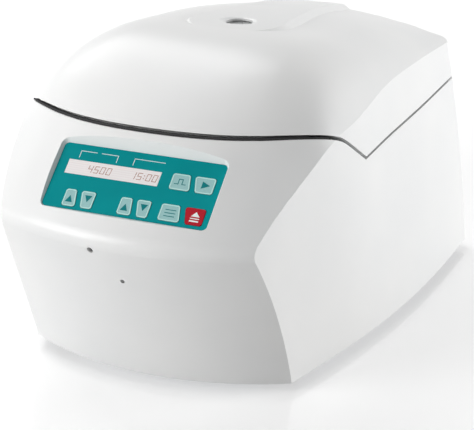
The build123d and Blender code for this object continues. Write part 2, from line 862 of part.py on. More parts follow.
save("stator_core", ring(core_inner, core_outer, armature_z, core_top_z))
save("stator_windings", group([lower_winding, upper_winding]))
save("motor_end_cap", motor_end_cap())
save("motor_bearings", group([bearing(lower_bearing_z), bearing(upper_bearing_z)]))
save("shaft_boot", boot)


# Rotor: shaft with its flange and thread, armature, angle rotor and nut
shaft_end_gap = 0.5
shaft_flange_radius = 9.0
shaft_flange_height = 2.0
rotor_bore_gap = 0.02
rotor_seat_z = 130.0
thread_radius = 4.0
thread_top_z = 142.0
nut_radius = 12.5
nut_top_z = 146.0
nut_recess_radius = 13.0
nut_flutes = 8
nut_flute_radius = 2.2
shaft_radius = shaft_d / 2.0


def motor_shaft():
    low = lower_bearing_z + shaft_end_gap
    flange_low = rotor_hub_z - shaft_flange_height
    return turned([(0, low), (shaft_radius, low), (shaft_radius, flange_low),
                   (shaft_flange_radius, flange_low), (shaft_flange_radius, rotor_hub_z),
                   (shaft_radius, rotor_hub_z), (shaft_radius, rotor_seat_z),
                   (thread_radius, rotor_seat_z), (thread_radius, thread_top_z - 1.0),
                   (thread_radius - 1.0, thread_top_z), (0, thread_top_z)])


def angle_rotor():
    bore = shaft_radius + rotor_bore_gap
    outline = [
        (bore, rotor_hub_z),
        (17.0, rotor_hub_z),
        (20.0, 108.0),
        (20.0, 112.0),
        (30.0, 112.0),
        (48.0, 104.0),
        (66.0, rotor_low_z),
        (80.0, rotor_low_z),
        (87.0, 91.0),
        (87.5, 99.0),
        (85.6, 102.3),
        (55.6, 148.4),
        (50.0, 150.0),
        (24.0, rotor_seat_z + 4.0),
        (nut_recess_radius, rotor_seat_z + 4.0),
        (nut_recess_radius, rotor_seat_z),
        (bore, rotor_seat_z),
    ]
    rounds = [0, 1, 2, 1, 2, 6, 4, 4, 3, 2, 1.5, 3, 4, 2, 0, 0, 0]
    body = rounded_turned(outline, rounds)
    for index in range(rotor_wells):
        well = Pos(well_bottom_radius, 0, well_bottom_z) * Rot(0, -well_angle, 0) * (
            Sphere(well_d / 2.0) + rod(well_d / 2.0, 0, 90))
        turn = 360.0 * index / rotor_wells
        body = body - Pos(0, rotor_y, 0) * Rot(0, 0, turn) * well
    return one(body)


def rotor_nut():
    bore = thread_radius + 0.05
    body = rounded_turned([(0, nut_top_z), (0, thread_top_z + 0.3), (bore, thread_top_z + 0.3),
                           (bore, rotor_seat_z),
                           (nut_radius, rotor_seat_z), (nut_radius, nut_top_z)], [0, 0, 0, 0, 0, 2])
    for index in range(nut_flutes):
        turn = math.radians(360.0 * (index + 0.5) / nut_flutes)
        reach = nut_radius + 1.0
        body = body - rod(nut_flute_radius, rotor_seat_z + 5.0, nut_top_z + 1.0,
                          reach * math.cos(turn), rotor_y + reach * math.sin(turn))
    return one(body)


save("motor_shaft", motor_shaft())
save("armature", ring(shaft_radius + rotor_bore_gap, armature_radius, armature_z, core_top_z))
save("angle_rotor", angle_rotor())
save("rotor_nut", rotor_nut())


# Lid: cover with the raised tongue, lining, viewport, striker and screws
seal_z = gasket_top_z + seal_gap
lining_ring_outer = pocket_radius - lining_side_gap
lining_ring_inner = lining_ring_outer - lining
lining_cone_low_radius = 86.0
tube_outer_radius = 11.0
tube_wall = 1.5
tube_flange_radius = 14.0
glass_radius = 11.0
glass_gap = 0.3
lip_z = viewport_top_z - viewport_lip
glass_low_z = lip_z - viewport_thick
lining_dome_top_z = lining_dome_z + lining
lid_post_places = [(-88.0, 128.0), (88.0, 128.0), (-30.0, 150.0), (30.0, 150.0)]
lid_post_radius = 4.0
striker_foot_half = 12.0
striker_foot_extra = 3.0
striker_foot_thick = 2.0
striker_clear = 0.3
bracket_clear = 0.5


def tongue():
    """Raised teardrop from the viewport to the rear edge, with sloping walls."""
    front = tongue_top[0]
    rear = tongue_top[-1]
    line = [Vector(0, y, z) for y, z in tongue_top]
    depth = 40.0
    side = Wire([
        Spline(*line),
        Line((0, rear[0], rear[1]), (0, rear[0], rear[1] - depth)),
        Line((0, rear[0], rear[1] - depth), (0, front[0], rear[1] - depth)),
        Line((0, front[0], rear[1] - depth), (0, front[0], front[1])),
    ])
    half = tongue_radius + 20.0
    slab = extrude(Face(side).moved(Location((-half, 0, 0))), amount=2.0 * half, dir=(1, 0, 0))
    lean = math.atan2(front[1] - rear[1], rear[0] - front[0])
    upward = (0, math.sin(lean), math.cos(lean))
    plane = Plane(origin=(0, rotor_y, tongue_top[1][1]), x_dir=(1, 0, 0), z_dir=upward)
    spread = 12.0 / math.tan(math.radians(tongue_wall_angle))
    sections = []
    for drop, grow in ((6.0, -6.0 * spread / 12.0), (-12.0, spread)):
        radius = tongue_radius + grow
        rear_half = tongue_rear_half + grow
        reach = rear_y + 16.0 - rotor_y
        # sides run as tangents from the round front to the narrower rear
        swing = math.asin((radius - rear_half) / reach)
        touch = Vector(radius * math.cos(swing), radius * math.sin(swing), drop)
        rear_corner_point = Vector(rear_half, reach, drop)
        left_touch = Vector(-touch.X, touch.Y, drop)
        left_rear = Vector(-rear_half, reach, drop)
        sections.append(plane.location * Wire([
            ThreePointArc(touch, Vector(0, -radius, drop), left_touch),
            Line(left_touch, left_rear),
            Line(left_rear, rear_corner_point),
            Line(rear_corner_point, touch),
        ]))
    wedge = Solid.make_loft(sections, ruled=True)
    return slab & wedge & block(-side_reach, side_reach, front_y, rear_y, 100, top_limit)


def rear_round():
    """What is cut off so that the lid's rear lower edge is round about the hinge axis."""
    corner = block(-side_reach, side_reach, hinge_y, rear_y + 5, lid_low_z - 5, hinge_z)
    return corner - rod_x(hinge_radius, -side_reach, side_reach, hinge_y, hinge_z)


def hinge_room(x0, x1, y0, y1, z1):
    """Space for the hinge from under the lid up to z1, on both sides."""
    low = lid_low_z - 5.0
    return block(x0, x1, y0, y1, low, z1) + block(-x1, -x0, y0, y1, low, z1)


def lid_cover():
    body = (whole + tongue()) & over_cut
    body = body - (hollow & over_cut)
    for x, y in lid_post_places:
        post = rod(lid_post_radius, lid_low_z + lining, top_limit, x, y) & whole
        body = body + post
        body = body - rod(screw_d / 2.0 + screw_clear, 0, lid_low_z + lining + screw_length + 2.0, x, y)
    body = body - rear_round()
    body = body - hinge_room(tower_x0 - hinge_side_gap, tower_x1 + hinge_side_gap, stem_rear_y, rear_y + 5,
                             hinge_z + tower_notch_height)
    dish_low = viewport_d / 2.0
    dish_high = viewport_dish_d / 2.0
    body = body - turned([(0, lip_z - 20), (glass_radius + glass_gap, lip_z - 20),
                          (glass_radius + glass_gap, lip_z),
                          (dish_low, lip_z), (dish_low, viewport_top_z),
                          (dish_high, viewport_top_z + 2.0), (dish_high + 12.0, viewport_top_z + 22.0),
                          (0, viewport_top_z + 22.0)])
    return one(body)


def lid_lining():
    keep = inner & over_cut
    wide = rod(lining_ring_inner, 0, top_limit + 30, 0, rotor_y)
    skin = keep - over_lining - wide
    band = ring(lining_ring_inner, lining_ring_outer, seal_z, top_limit) - over_lining
    band = band & inner
    cone = turned([
        (lining_ring_outer, seal_z),
        (lining_cone_low_radius, seal_z),
        (lining_dome_radius, lining_dome_z),
        (tube_outer_radius + glass_gap, lining_dome_z),
        (tube_outer_radius + glass_gap, lining_dome_top_z),
        (lining_dome_radius + lining / 2.0, lining_dome_top_z),
        (lining_cone_low_radius + lining, seal_z + lining),
        (lining_ring_outer, seal_z + lining),
    ])
    body = skin + band + cone
    x0 = inner_lug_x0 - bracket_clear
    x1 = outer_lug_x1 + bracket_clear
    body = body - hinge_room(x0, x1, hinge_y - hinge_radius, rear_y + 5, top_limit)
    body = body - rear_round()
    half = striker_width / 2.0 + striker_clear
    body = body - block(-striker_thick / 2 - striker_clear, striker_thick / 2 + striker_clear,
                        lock_y - half, lock_y + half, 160, 190)
    for x, y in lid_post_places:
        seat = lid_low_z + screw_head_height + 0.1
        body = body - rod(screw_head_radius + screw_clear, 0, seat, x, y)
        body = body - rod(screw_hole_radius, 0, seat + 5.0, x, y)
    return one(body)


def striker():
    foot_z = seam_front_z + lid_low_front + lining
    half = striker_width / 2.0
    plate = block(-striker_thick / 2, striker_thick / 2, lock_y - half, lock_y + half,
                  striker_low_z, foot_z + striker_foot_thick)
    plate = plate - block(-5, 5, lock_y - half + 3.0, lock_y + half - 3.0, window_floor_z, window_roof_z)
    foot = block(-striker_foot_half, striker_foot_half, lock_y - half - striker_foot_extra,
                 lock_y + half + striker_foot_extra, foot_z, foot_z + striker_foot_thick)
    return one((plate + foot) & inner)


def lid_screw(x, y):
    return Pos(x, y, lid_low_z + screw_head_height + 0.1) * pan_screw(screw_length)


viewport_tube = turned([
    (tube_outer_radius - tube_wall, lining_dome_z),
    (tube_outer_radius, lining_dome_z),
    (tube_outer_radius, lining_dome_top_z),
    (tube_flange_radius, lining_dome_top_z),
    (tube_flange_radius, lining_dome_top_z + 1.5),
    (tube_outer_radius, lining_dome_top_z + 1.5),
    (tube_outer_radius, glass_low_z),
    (tube_outer_radius - tube_wall, glass_low_z),
])
save("lid_cover", lid_cover())
save("lid_lining", lid_lining())
save("viewport_glass", rod(glass_radius, glass_low_z, lip_z, 0, rotor_y))
save("viewport_tube", viewport_tube)
save("striker", striker())
save("lid_screws", group([lid_screw(x, y) for x, y in lid_post_places]))


# Control panel: overlay, display, board, key switches and keys
overlay_lens_gap = 0.15
flange_grow = 0.8
flange_gap = 0.05
switch_body = 6.0
switch_height_on_board = 3.5
display_side = 2.0
display_rim = 2.5
board_half_width = 61.0
board_low = -1.0
board_high = 47.0


def panel_overlay():
    face = Pos(0, panel_height / 2.0) * RectangleRounded(panel_width, panel_height, panel_corner)
    sheet = on_panel(Pos(0, 0, -panel_thick) * extrude(face, amount=panel_thick))
    sheet = sheet - panel_block(window_left - overlay_lens_gap, window_right + overlay_lens_gap,
                                window_low - overlay_lens_gap, window_high + overlay_lens_gap, -2, 2)
    for key in key_shapes:
        sheet = sheet - key_prism(key, key_gap, -2, 1)
    return one(sheet)


def key_cap(key):
    """Key with its flange under the panel's floor and a stem down to its switch."""
    x, h = key_centre(key)
    flange_high = panel_floor_low - flange_gap
    cap = key_prism(key, 0, flange_high, key_raise)
    flange = key_prism(key, flange_grow, flange_high - key_flange, flange_high)
    stem_low = board_top + switch_height_on_board + key_travel + flange_gap
    stem = on_panel(rod(key_stem / 2.0, stem_low, flange_high, x, h))
    return one(cap + flange + stem)


def key_switch(key):
    x, h = key_centre(key)
    half = switch_body / 2.0
    return panel_block(x - half, x + half, h - half, h + half, board_top, board_top + switch_height_on_board)


def control_board():
    board = panel_block(-board_half_width, board_half_width, board_low, board_high, board_under, board_top)
    for x, h in board_post_places:
        board = board - on_panel(rod(screw_hole_radius, board_under - 1, board_top + 1, x, h))
    return one(board)


def board_chips():
    """Parts on the underside: processor, driver and two plug sockets."""
    under = board_under
    return [
        panel_block(-8, 8, 20, 36, under - 1.8, under),
        panel_block(14, 24, 22, 28, under - 1.6, under),
        panel_block(-50, -30, 8, 14, under - 7.0, under),
        panel_block(28, 48, 8, 14, under - 7.0, under),
    ]


save("panel_overlay", panel_overlay())
save("display_lens", panel_block(window_left, window_right, window_low, window_high, -panel_thick, 0))
save("display_module", panel_block(window_left - display_side, window_right + display_side,
                                   window_low - display_rim, window_high + display_rim,
                                   board_top, panel_floor_low - flange_gap))
save("control_board", control_board())
save("board_chips", group(board_chips()))
save("key_switches", group([key_switch(key) for key in key_shapes]))
for key in key_shapes:
    save(key[0], key_cap(key))


# Lid lock: frame, lever with its release spindle, solenoid, plunger, spring and lid switch
frame_sheet = 1.5
frame_front_y = -108.5
frame_rear_y = -87.5
frame_x0 = -40.0
frame_x1 = 38.0
frame_low_z = 102.0
frame_plate_top_z = 141.0
spindle_radius = 2.0
spindle_play = 0.05
spindle_front_y = -166.0
lever_hub_radius = 5.0
lock_angle = 12.0
lever_arm_half = 2.5
hook_tip_x = 4.0
solenoid_x0 = 8.0
solenoid_x1 = 34.0
solenoid_half_height = 11.0
plunger_radius = 4.0
plunger_play = 0.1
plunger_tip_radius = 3.0
plunger_tip_gap = 0.3
lock_spring_radius = 3.0
lock_spring_wire = 0.8
lock_spring_end_gap = 0.6
lock_spring_z = 132.0


def lock_frame():
    inner_front = frame_front_y + frame_sheet
    inner_rear = frame_rear_y - frame_sheet
    frame = block(frame_x0, frame_x1, frame_front_y, frame_rear_y, frame_low_z, frame_low_z + frame_sheet)
    for y0, y1 in ((frame_front_y, inner_front), (inner_rear, frame_rear_y)):
        frame = frame + block(frame_x0, frame_x1, y0, y1, frame_low_z, frame_plate_top_z)
        for x0, x1 in ((frame_x0, frame_x0 + 12), (frame_x1 - 10, frame_x1)):
            frame = frame + block(x0, x1, y0, y1, frame_plate_top_z, 180)
    shelf_high = solenoid_z - solenoid_half_height
    frame = frame + block(solenoid_x0, frame_x1, inner_front, inner_rear,
                          shelf_high - frame_sheet, shelf_high)
    frame = frame + block(frame_x0, frame_x0 + frame_sheet, inner_front, inner_rear,
                          frame_low_z, frame_plate_top_z)
    frame = frame - under_cut - over_deck_block()
    bore = rod_y(spindle_radius + spindle_play, frame_front_y - 1, frame_rear_y + 1, spindle_x, spindle_z)
    return one(frame - bore)


def over_deck_block():
    """Everything over the underside of the casing's top."""
    return over_seam(casing_top_front - deck, casing_top_side - deck)


def lock_lever():
    y0 = lock_y - lever_thick / 2.0
    y1 = lock_y + lever_thick / 2.0
    spindle = rod_y(spindle_radius, spindle_front_y, frame_rear_y, spindle_x, spindle_z)
    spindle = spindle - block(spindle_x - 3, spindle_x + 3, spindle_front_y - 1, spindle_front_y + 1.5,
                              spindle_z - 0.4, spindle_z + 0.4)
    hub = rod_y(lever_hub_radius, y0, y1, spindle_x, spindle_z)
    arm = block(spindle_x - lever_arm_half, spindle_x + lever_arm_half, y0, y1, spindle_z, hook_high_z)
    finger = block(spindle_x, hook_tip_x, y0, y1, hook_low_z, hook_high_z)
    engaged = spindle + hub + arm + finger
    pivot = Pos(spindle_x, 0, spindle_z)
    return one(pivot * Rot(0, -lock_angle, 0) * Pos(-spindle_x, 0, -spindle_z) * engaged)


def lock_solenoid():
    gap = 0.5
    low = solenoid_z - solenoid_half_height
    body = block(solenoid_x0, solenoid_x1,
                 frame_front_y + frame_sheet + gap, frame_rear_y - frame_sheet - gap,
                 low, solenoid_z + solenoid_half_height)
    bore = rod_x(plunger_radius + plunger_play, solenoid_x0 - 1, solenoid_x1 - 3, lock_y, solenoid_z)
    return one(body - bore)


plunger_tip_x = spindle_x + lever_arm_half + plunger_tip_gap + plunger_tip_radius


def solenoid_plunger():
    step_x = solenoid_x0 - 2.0
    tip = Pos(plunger_tip_x, lock_y, solenoid_z) * Sphere(plunger_tip_radius)
    rod_part = rod_x(plunger_tip_radius, plunger_tip_x, step_x, lock_y, solenoid_z)
    core = rod_x(plunger_radius, step_x, solenoid_x1 - 4.0, lock_y, solenoid_z)
    out = (solenoid_z - spindle_z) * math.radians(lock_angle)
    return one(Pos(-out, 0, 0) * (tip + rod_part + core))


def lock_spring():
    """Spring from the frame's left side to the lever, one unbroken coil along X."""
    start_x = frame_x0 + frame_sheet
    spring_top = lock_spring_z + lock_spring_radius + lock_spring_wire
    lean = (spring_top - spindle_z) * math.sin(math.radians(lock_angle))
    end_x = spindle_x - lever_arm_half - lean - lock_spring_end_gap
    turns = 4
    length = end_x - start_x - lock_spring_wire
    pitch = length / turns
    path = Helix(pitch=pitch, height=length, radius=lock_spring_radius)
    section = Plane(origin=path @ 0, z_dir=path % 0) * Circle(lock_spring_wire / 2.0)
    coil = sweep(section, path=path, is_frenet=True)
    least_gap = pitch - lock_spring_wire
    print("lock spring least gap between turns", round(least_gap, 2))
    return Pos(start_x + lock_spring_wire / 2.0, lock_y, lock_spring_z) * Rot(0, 90, 0) * coil


lid_switch = block(7, 27, frame_front_y + frame_sheet, lock_y - 3, 138.3, 150)
lid_switch = lid_switch + block(3.2, 7, lock_y - 6, lock_y - 4, 146, 148)
save("lock_frame", lock_frame())
save("lock_lever", lock_lever())
save("lock_solenoid", lock_solenoid())
save("solenoid_plunger", solenoid_plunger())
save("lock_spring", one(lock_spring()))


# Rear fittings: inlet, pins, fuse drawer, fuses, switch frame and rocker
face_back = 0.2
inlet_depth = 32.0
socket_half_width = 12.0
socket_low = -2.5
socket_high = 13.5
socket_depth = 16.0
pin_places = [(-7.0, 3.5), (7.0, 3.5), (0.0, 7.5)]
drawer_half_width = 10.0
drawer_low = -13.0
drawer_high = -4.6
drawer_depth = 28.0
drawer_gap = 0.15
fuse_d = 5.0
fuse_length = 20.0
fuse_x = 4.5
switch_depth = 20.0
rocker_y = rear_y - 8.5
rocker_half_width = 7.4
rocker_half_height = 11.2
rocker_angle = 16.0
rocker_end = 6.6
rocker_middle = 5.2
rocker_cavity_side = 0.3
rocker_cavity_end = 1.3
rocker_pin_radius = 1.5
face_y = rear_y - face_back


def mains_inlet():
    half_w = inlet_width / 2.0 - fitting_gap
    half_h = inlet_height / 2.0 - fitting_gap
    body = block(inlet_x - half_w, inlet_x + half_w, face_y - inlet_depth, face_y,
                 inlet_z - half_h, inlet_z + half_h)
    body = body - block(inlet_x - socket_half_width, inlet_x + socket_half_width,
                        face_y - socket_depth, face_y + 1,
                        inlet_z + socket_low, inlet_z + socket_high)
    body = body - block(inlet_x - drawer_half_width - drawer_gap, inlet_x + drawer_half_width + drawer_gap,
                        face_y - drawer_depth - drawer_gap, face_y + 1,
                        inlet_z + drawer_low - drawer_gap, inlet_z + drawer_high + drawer_gap)
    for x, z in pin_places:
        body = body - block(inlet_x + x - 2.0, inlet_x + x + 2.0,
                            face_y - inlet_depth - 1, face_y - socket_depth + 1,
                            inlet_z + z - 1.0, inlet_z + z + 1.0)
    return one(body)


def inlet_pins():
    pins = []
    for x, z in pin_places:
        pins.append(block(inlet_x + x - 2.0, inlet_x + x + 2.0, face_y - inlet_depth - 6.0, face_y - 4.0,
                          inlet_z + z - 1.0, inlet_z + z + 1.0))
    return group(pins)


def fuse_drawer():
    body = block(inlet_x - drawer_half_width, inlet_x + drawer_half_width, face_y - drawer_depth, face_y,
                 inlet_z + drawer_low, inlet_z + drawer_high)
    for x in (-fuse_x, fuse_x):
        radius = fuse_d / 2.0 + drawer_gap
        y0 = face_y - drawer_depth + 2.0
        z = inlet_z + drawer_low + 1.5 + radius
        body = body - rod_y(radius, y0, y0 + fuse_length + 0.6, inlet_x + x, z)
        body = body - block(inlet_x + x - radius, inlet_x + x + radius, y0, y0 + fuse_length + 0.6,
                            z, inlet_z + drawer_high + 1)
    grip = block(inlet_x - 4, inlet_x + 4, face_y - 1.2, face_y + 1, inlet_z + drawer_high - 2.4,
                 inlet_z + drawer_high - 1.2)
    return one(body - grip)


def fuses():
    found = []
    for x in (-fuse_x, fuse_x):
        y0 = face_y - drawer_depth + 2.3
        z = inlet_z + drawer_low + 1.5 + fuse_d / 2.0 + drawer_gap
        found.append(rod_y(fuse_d / 2.0, y0, y0 + fuse_length, inlet_x + x, z))
    return group(found)


def switch_frame():
    half_w = switch_width / 2.0 - fitting_gap
    half_h = switch_height / 2.0 - fitting_gap
    body = block(switch_x - half_w, switch_x + half_w, face_y - switch_depth, face_y, inlet_z - half_h,
                 inlet_z + half_h)
    cavity_w = rocker_half_width + rocker_cavity_side
    cavity_h = rocker_half_height + rocker_cavity_end
    body = body - block(switch_x - cavity_w, switch_x + cavity_w, rocker_y - 6.0, face_y + 1,
                        inlet_z - cavity_h, inlet_z + cavity_h)
    reach = half_w - 0.4
    return one(body - rod_x(rocker_pin_radius + 0.05, switch_x - reach, switch_x + reach, rocker_y, inlet_z))


def mains_rocker():
    w = rocker_half_width
    h = rocker_half_height
    outline = make_face(Polyline((0, -3.0, -h + 1.0), (0, rocker_end, -h), (0, rocker_middle, 0),
                                 (0, rocker_end, h), (0, -3.0, h - 1.0), close=True))
    body = extrude(outline.moved(Location((-w, 0, 0))), amount=2 * w, dir=(1, 0, 0))
    reach = switch_width / 2.0 - fitting_gap - 0.6
    body = body + rod_x(rocker_pin_radius, -reach, reach, 0, 0)
    # at rest the upper half stands out and the lower half is pressed in
    return one(Pos(switch_x, rocker_y, inlet_z) * Rot(-rocker_angle / 2.0, 0, 0) * body)


save("mains_inlet", mains_inlet())
save("inlet_pins", inlet_pins())
save("fuse_drawer", fuse_drawer())
save("fuses", fuses())
save("switch_frame", switch_frame())
save("mains_rocker", mains_rocker())


# Inside the casing: power board with its parts, sensors, sounder and wiring
power_x0 = -4.0
power_x1 = 92.0
power_y0 = 98.0
power_y1 = 164.0
power_z = 20.0
standoff_radius = 3.0
wire_radius = 1.6


def power_board():
    board = block(power_x0, power_x1, power_y0, power_y1, power_z, power_z + board_thick)
    for x in (power_x0 + 5, power_x1 - 5):
        for y in (power_y0 + 5, power_y1 - 5):
            board = board + rod(standoff_radius, plate_top_z, power_z, x, y)
    return one(board)


def power_parts():
    top = power_z + board_thick
    parts = [
        block(8, 40, 110, 142, top, top + 30),
        rod(11, top, top + 32, 56, 124),
        rod(11, top, top + 32, 78, 124),
        block(50, 86, 140, 144, top, top + 35),
        block(2, 12, 148, 160, top, top + 9),
        block(20, 44, 148, 160, top, top + 12),
    ]
    return group(parts)


def wiring_harness():
    """Wires with round bends: inlet to switch to power board, and on to the motor and the control board."""
    routes = [
        [(-65.0, 138.3, 43.5), (-65.0, 126.0, 43.5), (-52.0, 116.0, 43.5), (-36.0, 124.0, 42.0),
         (-34.0, 142.0, 42.0), (-34.0, 156.3, 42.0)],
        [(-26.0, 156.3, 42.0), (-26.0, 142.0, 42.0), (-14.0, 134.0, 46.0), (2.0, 142.0, 50.0),
         (7.0, 154.0, 44.0),
         (7.0, 154.0, 30.6)],
        [(60.0, 98.0, 20.8), (60.0, 86.0, 20.8), (58.0, 72.0, 32.0), (50.0, 58.4, 46.0), (35.7, 49.2, 50.0)],
        [(84.0, 98.0, 20.8), (84.0, 84.0, 20.8), (92.0, 60.0, 32.0), (97.0, 14.0, 40.0), (90.0, -36.0, 44.0),
         (76.0, -80.0, 60.0), (54.0, -112.0, 84.0), (38.0, -130.0, 108.4), (38.0, -137.6, 117.6)],
    ]
    wires = []
    for route in routes:
        radii = []
        for index in range(1, len(route) - 1):
            before = Vector(*route[index]) - Vector(*route[index - 1])
            after = Vector(*route[index + 1]) - Vector(*route[index])
            turn = math.radians(before.get_angle(after))
            radii.append(0.45 * min(before.length, after.length) / math.tan(turn / 2.0))
        path = FilletPolyline(*route, radius=radii)
        section = Plane(origin=path @ 0, z_dir=path % 0) * Circle(wire_radius)
        wires.append(sweep(section, path=path))
    return group(wires)


sounder = rod_y(sounder_radius, sounder_front_y, sounder_rear_y, sound_hole_x, sound_hole_z)
speed_sensor = block(27, 34, rotor_y - 4, rotor_y + 4, lower_bearing_z, lower_bearing_z + 3.0)
balance_switch = block(66, 78, rotor_y - 6, rotor_y + 6, plate_top_z, plate_top_z + 14.0)
balance_switch = balance_switch + block(64, 66, rotor_y - 2, rotor_y + 2, plate_top_z + 9, plate_top_z + 10)
save("power_board", power_board())
save("power_parts", power_parts())
save("speed_sensor", speed_sensor)
save("microswitches", group([balance_switch, lid_switch]))
save("sounder", sounder)
save("wiring_harness", wiring_harness())
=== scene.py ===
import math

import bpy
from mathutils import Matrix, Vector, geometry


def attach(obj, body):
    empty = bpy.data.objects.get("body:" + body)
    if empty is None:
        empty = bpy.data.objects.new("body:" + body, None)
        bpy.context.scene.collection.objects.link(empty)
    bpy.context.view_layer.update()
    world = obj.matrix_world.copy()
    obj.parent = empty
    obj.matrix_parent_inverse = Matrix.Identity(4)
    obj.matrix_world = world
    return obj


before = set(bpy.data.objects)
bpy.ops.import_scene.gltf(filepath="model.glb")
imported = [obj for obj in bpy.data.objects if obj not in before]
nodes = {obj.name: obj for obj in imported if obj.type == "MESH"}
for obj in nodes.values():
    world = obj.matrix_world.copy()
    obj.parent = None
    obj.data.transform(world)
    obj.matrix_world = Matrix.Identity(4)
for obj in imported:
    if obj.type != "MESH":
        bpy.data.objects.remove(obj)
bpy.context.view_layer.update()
MM = 0.001

# The control panel's own axes: across, up the slope and out of it, from the middle of its lower edge
PANEL_TILT = math.radians(39.7)
PANEL_SPOT = Vector((0.0, -0.1599, 0.1272))
ACROSS = Vector((1.0, 0.0, 0.0))
UPHILL = Vector((0.0, math.cos(PANEL_TILT), math.sin(PANEL_TILT)))
OUTWARD = Vector((0.0, -math.sin(PANEL_TILT), math.cos(PANEL_TILT)))
PANEL = Matrix((
    (ACROSS.x, UPHILL.x, OUTWARD.x, PANEL_SPOT.x),
    (ACROSS.y, UPHILL.y, OUTWARD.y, PANEL_SPOT.y),
    (ACROSS.z, UPHILL.z, OUTWARD.z, PANEL_SPOT.z),
    (0.0, 0.0, 0.0, 1.0),
))
ROTOR_Y = 0.026

# Height of the keys over the panel's plane and thickness of the print, in millimetres
KEY_TOP = 0.3
INK = 0.06

# Stage: width of the floor in metres; strengths of the floor's lift, the ambient light and the backdrop
FLOOR_SIZE = 12.0
FLOOR_LIFT = 0.44
AMBIENT = 0.22
BACKDROP = 1.0
PLAIN_WHITE = (1.0, 1.0, 1.0, 1.0)
# A wave texture's bands are about this many times narrower than its scale says
WAVE_SCALE = 6.28


def linear(code):
    """Colour written as sRGB hex, turned to linear values."""
    values = []
    for index in (0, 2, 4):
        value = int(code[index:index + 2], 16) / 255.0
        values.append(value / 12.92 if value <= 0.04045 else ((value + 0.055) / 1.055) ** 2.4)
    return (values[0], values[1], values[2], 1.0)


def add(tree, kind, settings=None, **links):
    """One node, with its settings by name and its inputs by socket name or number."""
    made = tree.nodes.new(kind)
    for name, value in (settings or {}).items():
        setattr(made, name, value)
    for name, value in links.items():
        numbered = name[0] == "i" and name[1:].isdigit()
        socket = made.inputs[int(name[1:]) if numbered else name.replace("_", " ")]
        if isinstance(value, bpy.types.NodeSocket):
            tree.links.new(value, socket)
        else:
            socket.default_value = value
    return made


def start_material(name, roughness, metallic=0.0, **sockets):
    """A Principled material with its object coordinates."""
    made = bpy.data.materials.new(name)
    made.use_nodes = True
    tree = made.node_tree
    shader = tree.nodes["Principled BSDF"]
    shader.inputs["Roughness"].default_value = roughness
    shader.inputs["Metallic"].default_value = metallic
    for key, value in sockets.items():
        shader.inputs[key.replace("_", " ")].default_value = value
    place = add(tree, "ShaderNodeTexCoord").outputs["Object"]
    return made, tree, shader, place


def per_metre(millimetres):
    """Scale of a pattern whose detail is this many millimetres apart."""
    return 1.0 / (millimetres * MM)


def tint(tree, factor, low, high, low_at=0.3, high_at=0.7):
    """Colour that runs from one hex value to another with a pattern."""
    ramp = add(tree, "ShaderNodeValToRGB", None, Fac=factor)
    ramp.color_ramp.elements[0].position = low_at
    ramp.color_ramp.elements[0].color = linear(low)
    ramp.color_ramp.elements[1].position = high_at
    ramp.color_ramp.elements[1].color = linear(high)
    return ramp.outputs["Color"]


def paint(tree, shader, factor, low, high, low_at=0.3, high_at=0.7):
    """Base colour that runs from one hex value to another with a pattern."""
    tree.links.new(tint(tree, factor, low, high, low_at, high_at), shader.inputs["Base Color"])


def gloss(tree, shader, factor, low, high):
    """Roughness that runs from low to high with a pattern."""
    spread = add(tree, "ShaderNodeMapRange", None, Value=factor, To_Min=low, To_Max=high)
    tree.links.new(spread.outputs["Result"], shader.inputs["Roughness"])


def noise(tree, place, size, detail, roughness=0.5):
    """Cloudy pattern whose detail is this many millimetres apart."""
    return add(tree, "ShaderNodeTexNoise", None, Vector=place, Scale=per_metre(size), Detail=detail,
               Roughness=roughness).outputs["Fac"]


def bands(tree, place, direction, size, distortion=0.0):
    """Dark and light bands in turn, each about this many millimetres wide."""
    return add(tree, "ShaderNodeTexWave", {"bands_direction": direction}, Vector=place,
               Scale=per_metre(size) / WAVE_SCALE, Distortion=distortion).outputs["Fac"]


def calc(tree, operation, *values):
    """Result of one math node."""
    inputs = {f"i{index}": value for index, value in enumerate(values)}
    return add(tree, "ShaderNodeMath", {"operation": operation}, **inputs).outputs[0]


def bump(tree, shader, height, distance, strength):
    """Relief of the given depth in metres."""
    made = add(tree, "ShaderNodeBump", None, Height=height, Distance=distance, Strength=strength)
    tree.links.new(made.outputs["Normal"], shader.inputs["Normal"])


def white_abs():
    """Injection-moulded ABS, white, with the fine eroded texture of its mould and a satin gloss."""
    made, tree, shader, place = start_material("white_moulded_abs", 0.34, IOR=1.53)
    # mould texture of about 0.5 mm, drawn at 1.1 mm so that it shows
    grain = noise(tree, place, 1.1, 3.0, 0.6)
    # slow unevenness of the moulding, as wide as a hand
    flow = noise(tree, place, 90.0, 2.0)
    paint(tree, shader, flow, "EDEEEE", "F3F3F2")
    gloss(tree, shader, grain, 0.30, 0.40)
    bump(tree, shader, grain, 0.00002, 0.35)
    return made


def grey_liner():
    """Satin grey moulded lining of the lid, slightly coarser than the outside."""
    made, tree, shader, place = start_material("grey_moulded_liner", 0.5, IOR=1.53)
    grain = noise(tree, place, 1.6, 4.0, 0.65)
    paint(tree, shader, grain, "B9BBBB", "C4C5C4")
    gloss(tree, shader, grain, 0.42, 0.58)
    bump(tree, shader, grain, 0.00004, 0.5)
    return made


def dark_rubber(name, low, high):
    """Moulded rubber: matt, with a fine dusty bloom."""
    made, tree, shader, place = start_material(name, 0.8, IOR=1.5)
    grain = noise(tree, place, 0.9, 4.0, 0.7)
    bloom = noise(tree, place, 12.0, 2.0)
    paint(tree, shader, bloom, low, high)
    gloss(tree, shader, grain, 0.7, 0.9)
    bump(tree, shader, grain, 0.00005, 0.5)
    return made


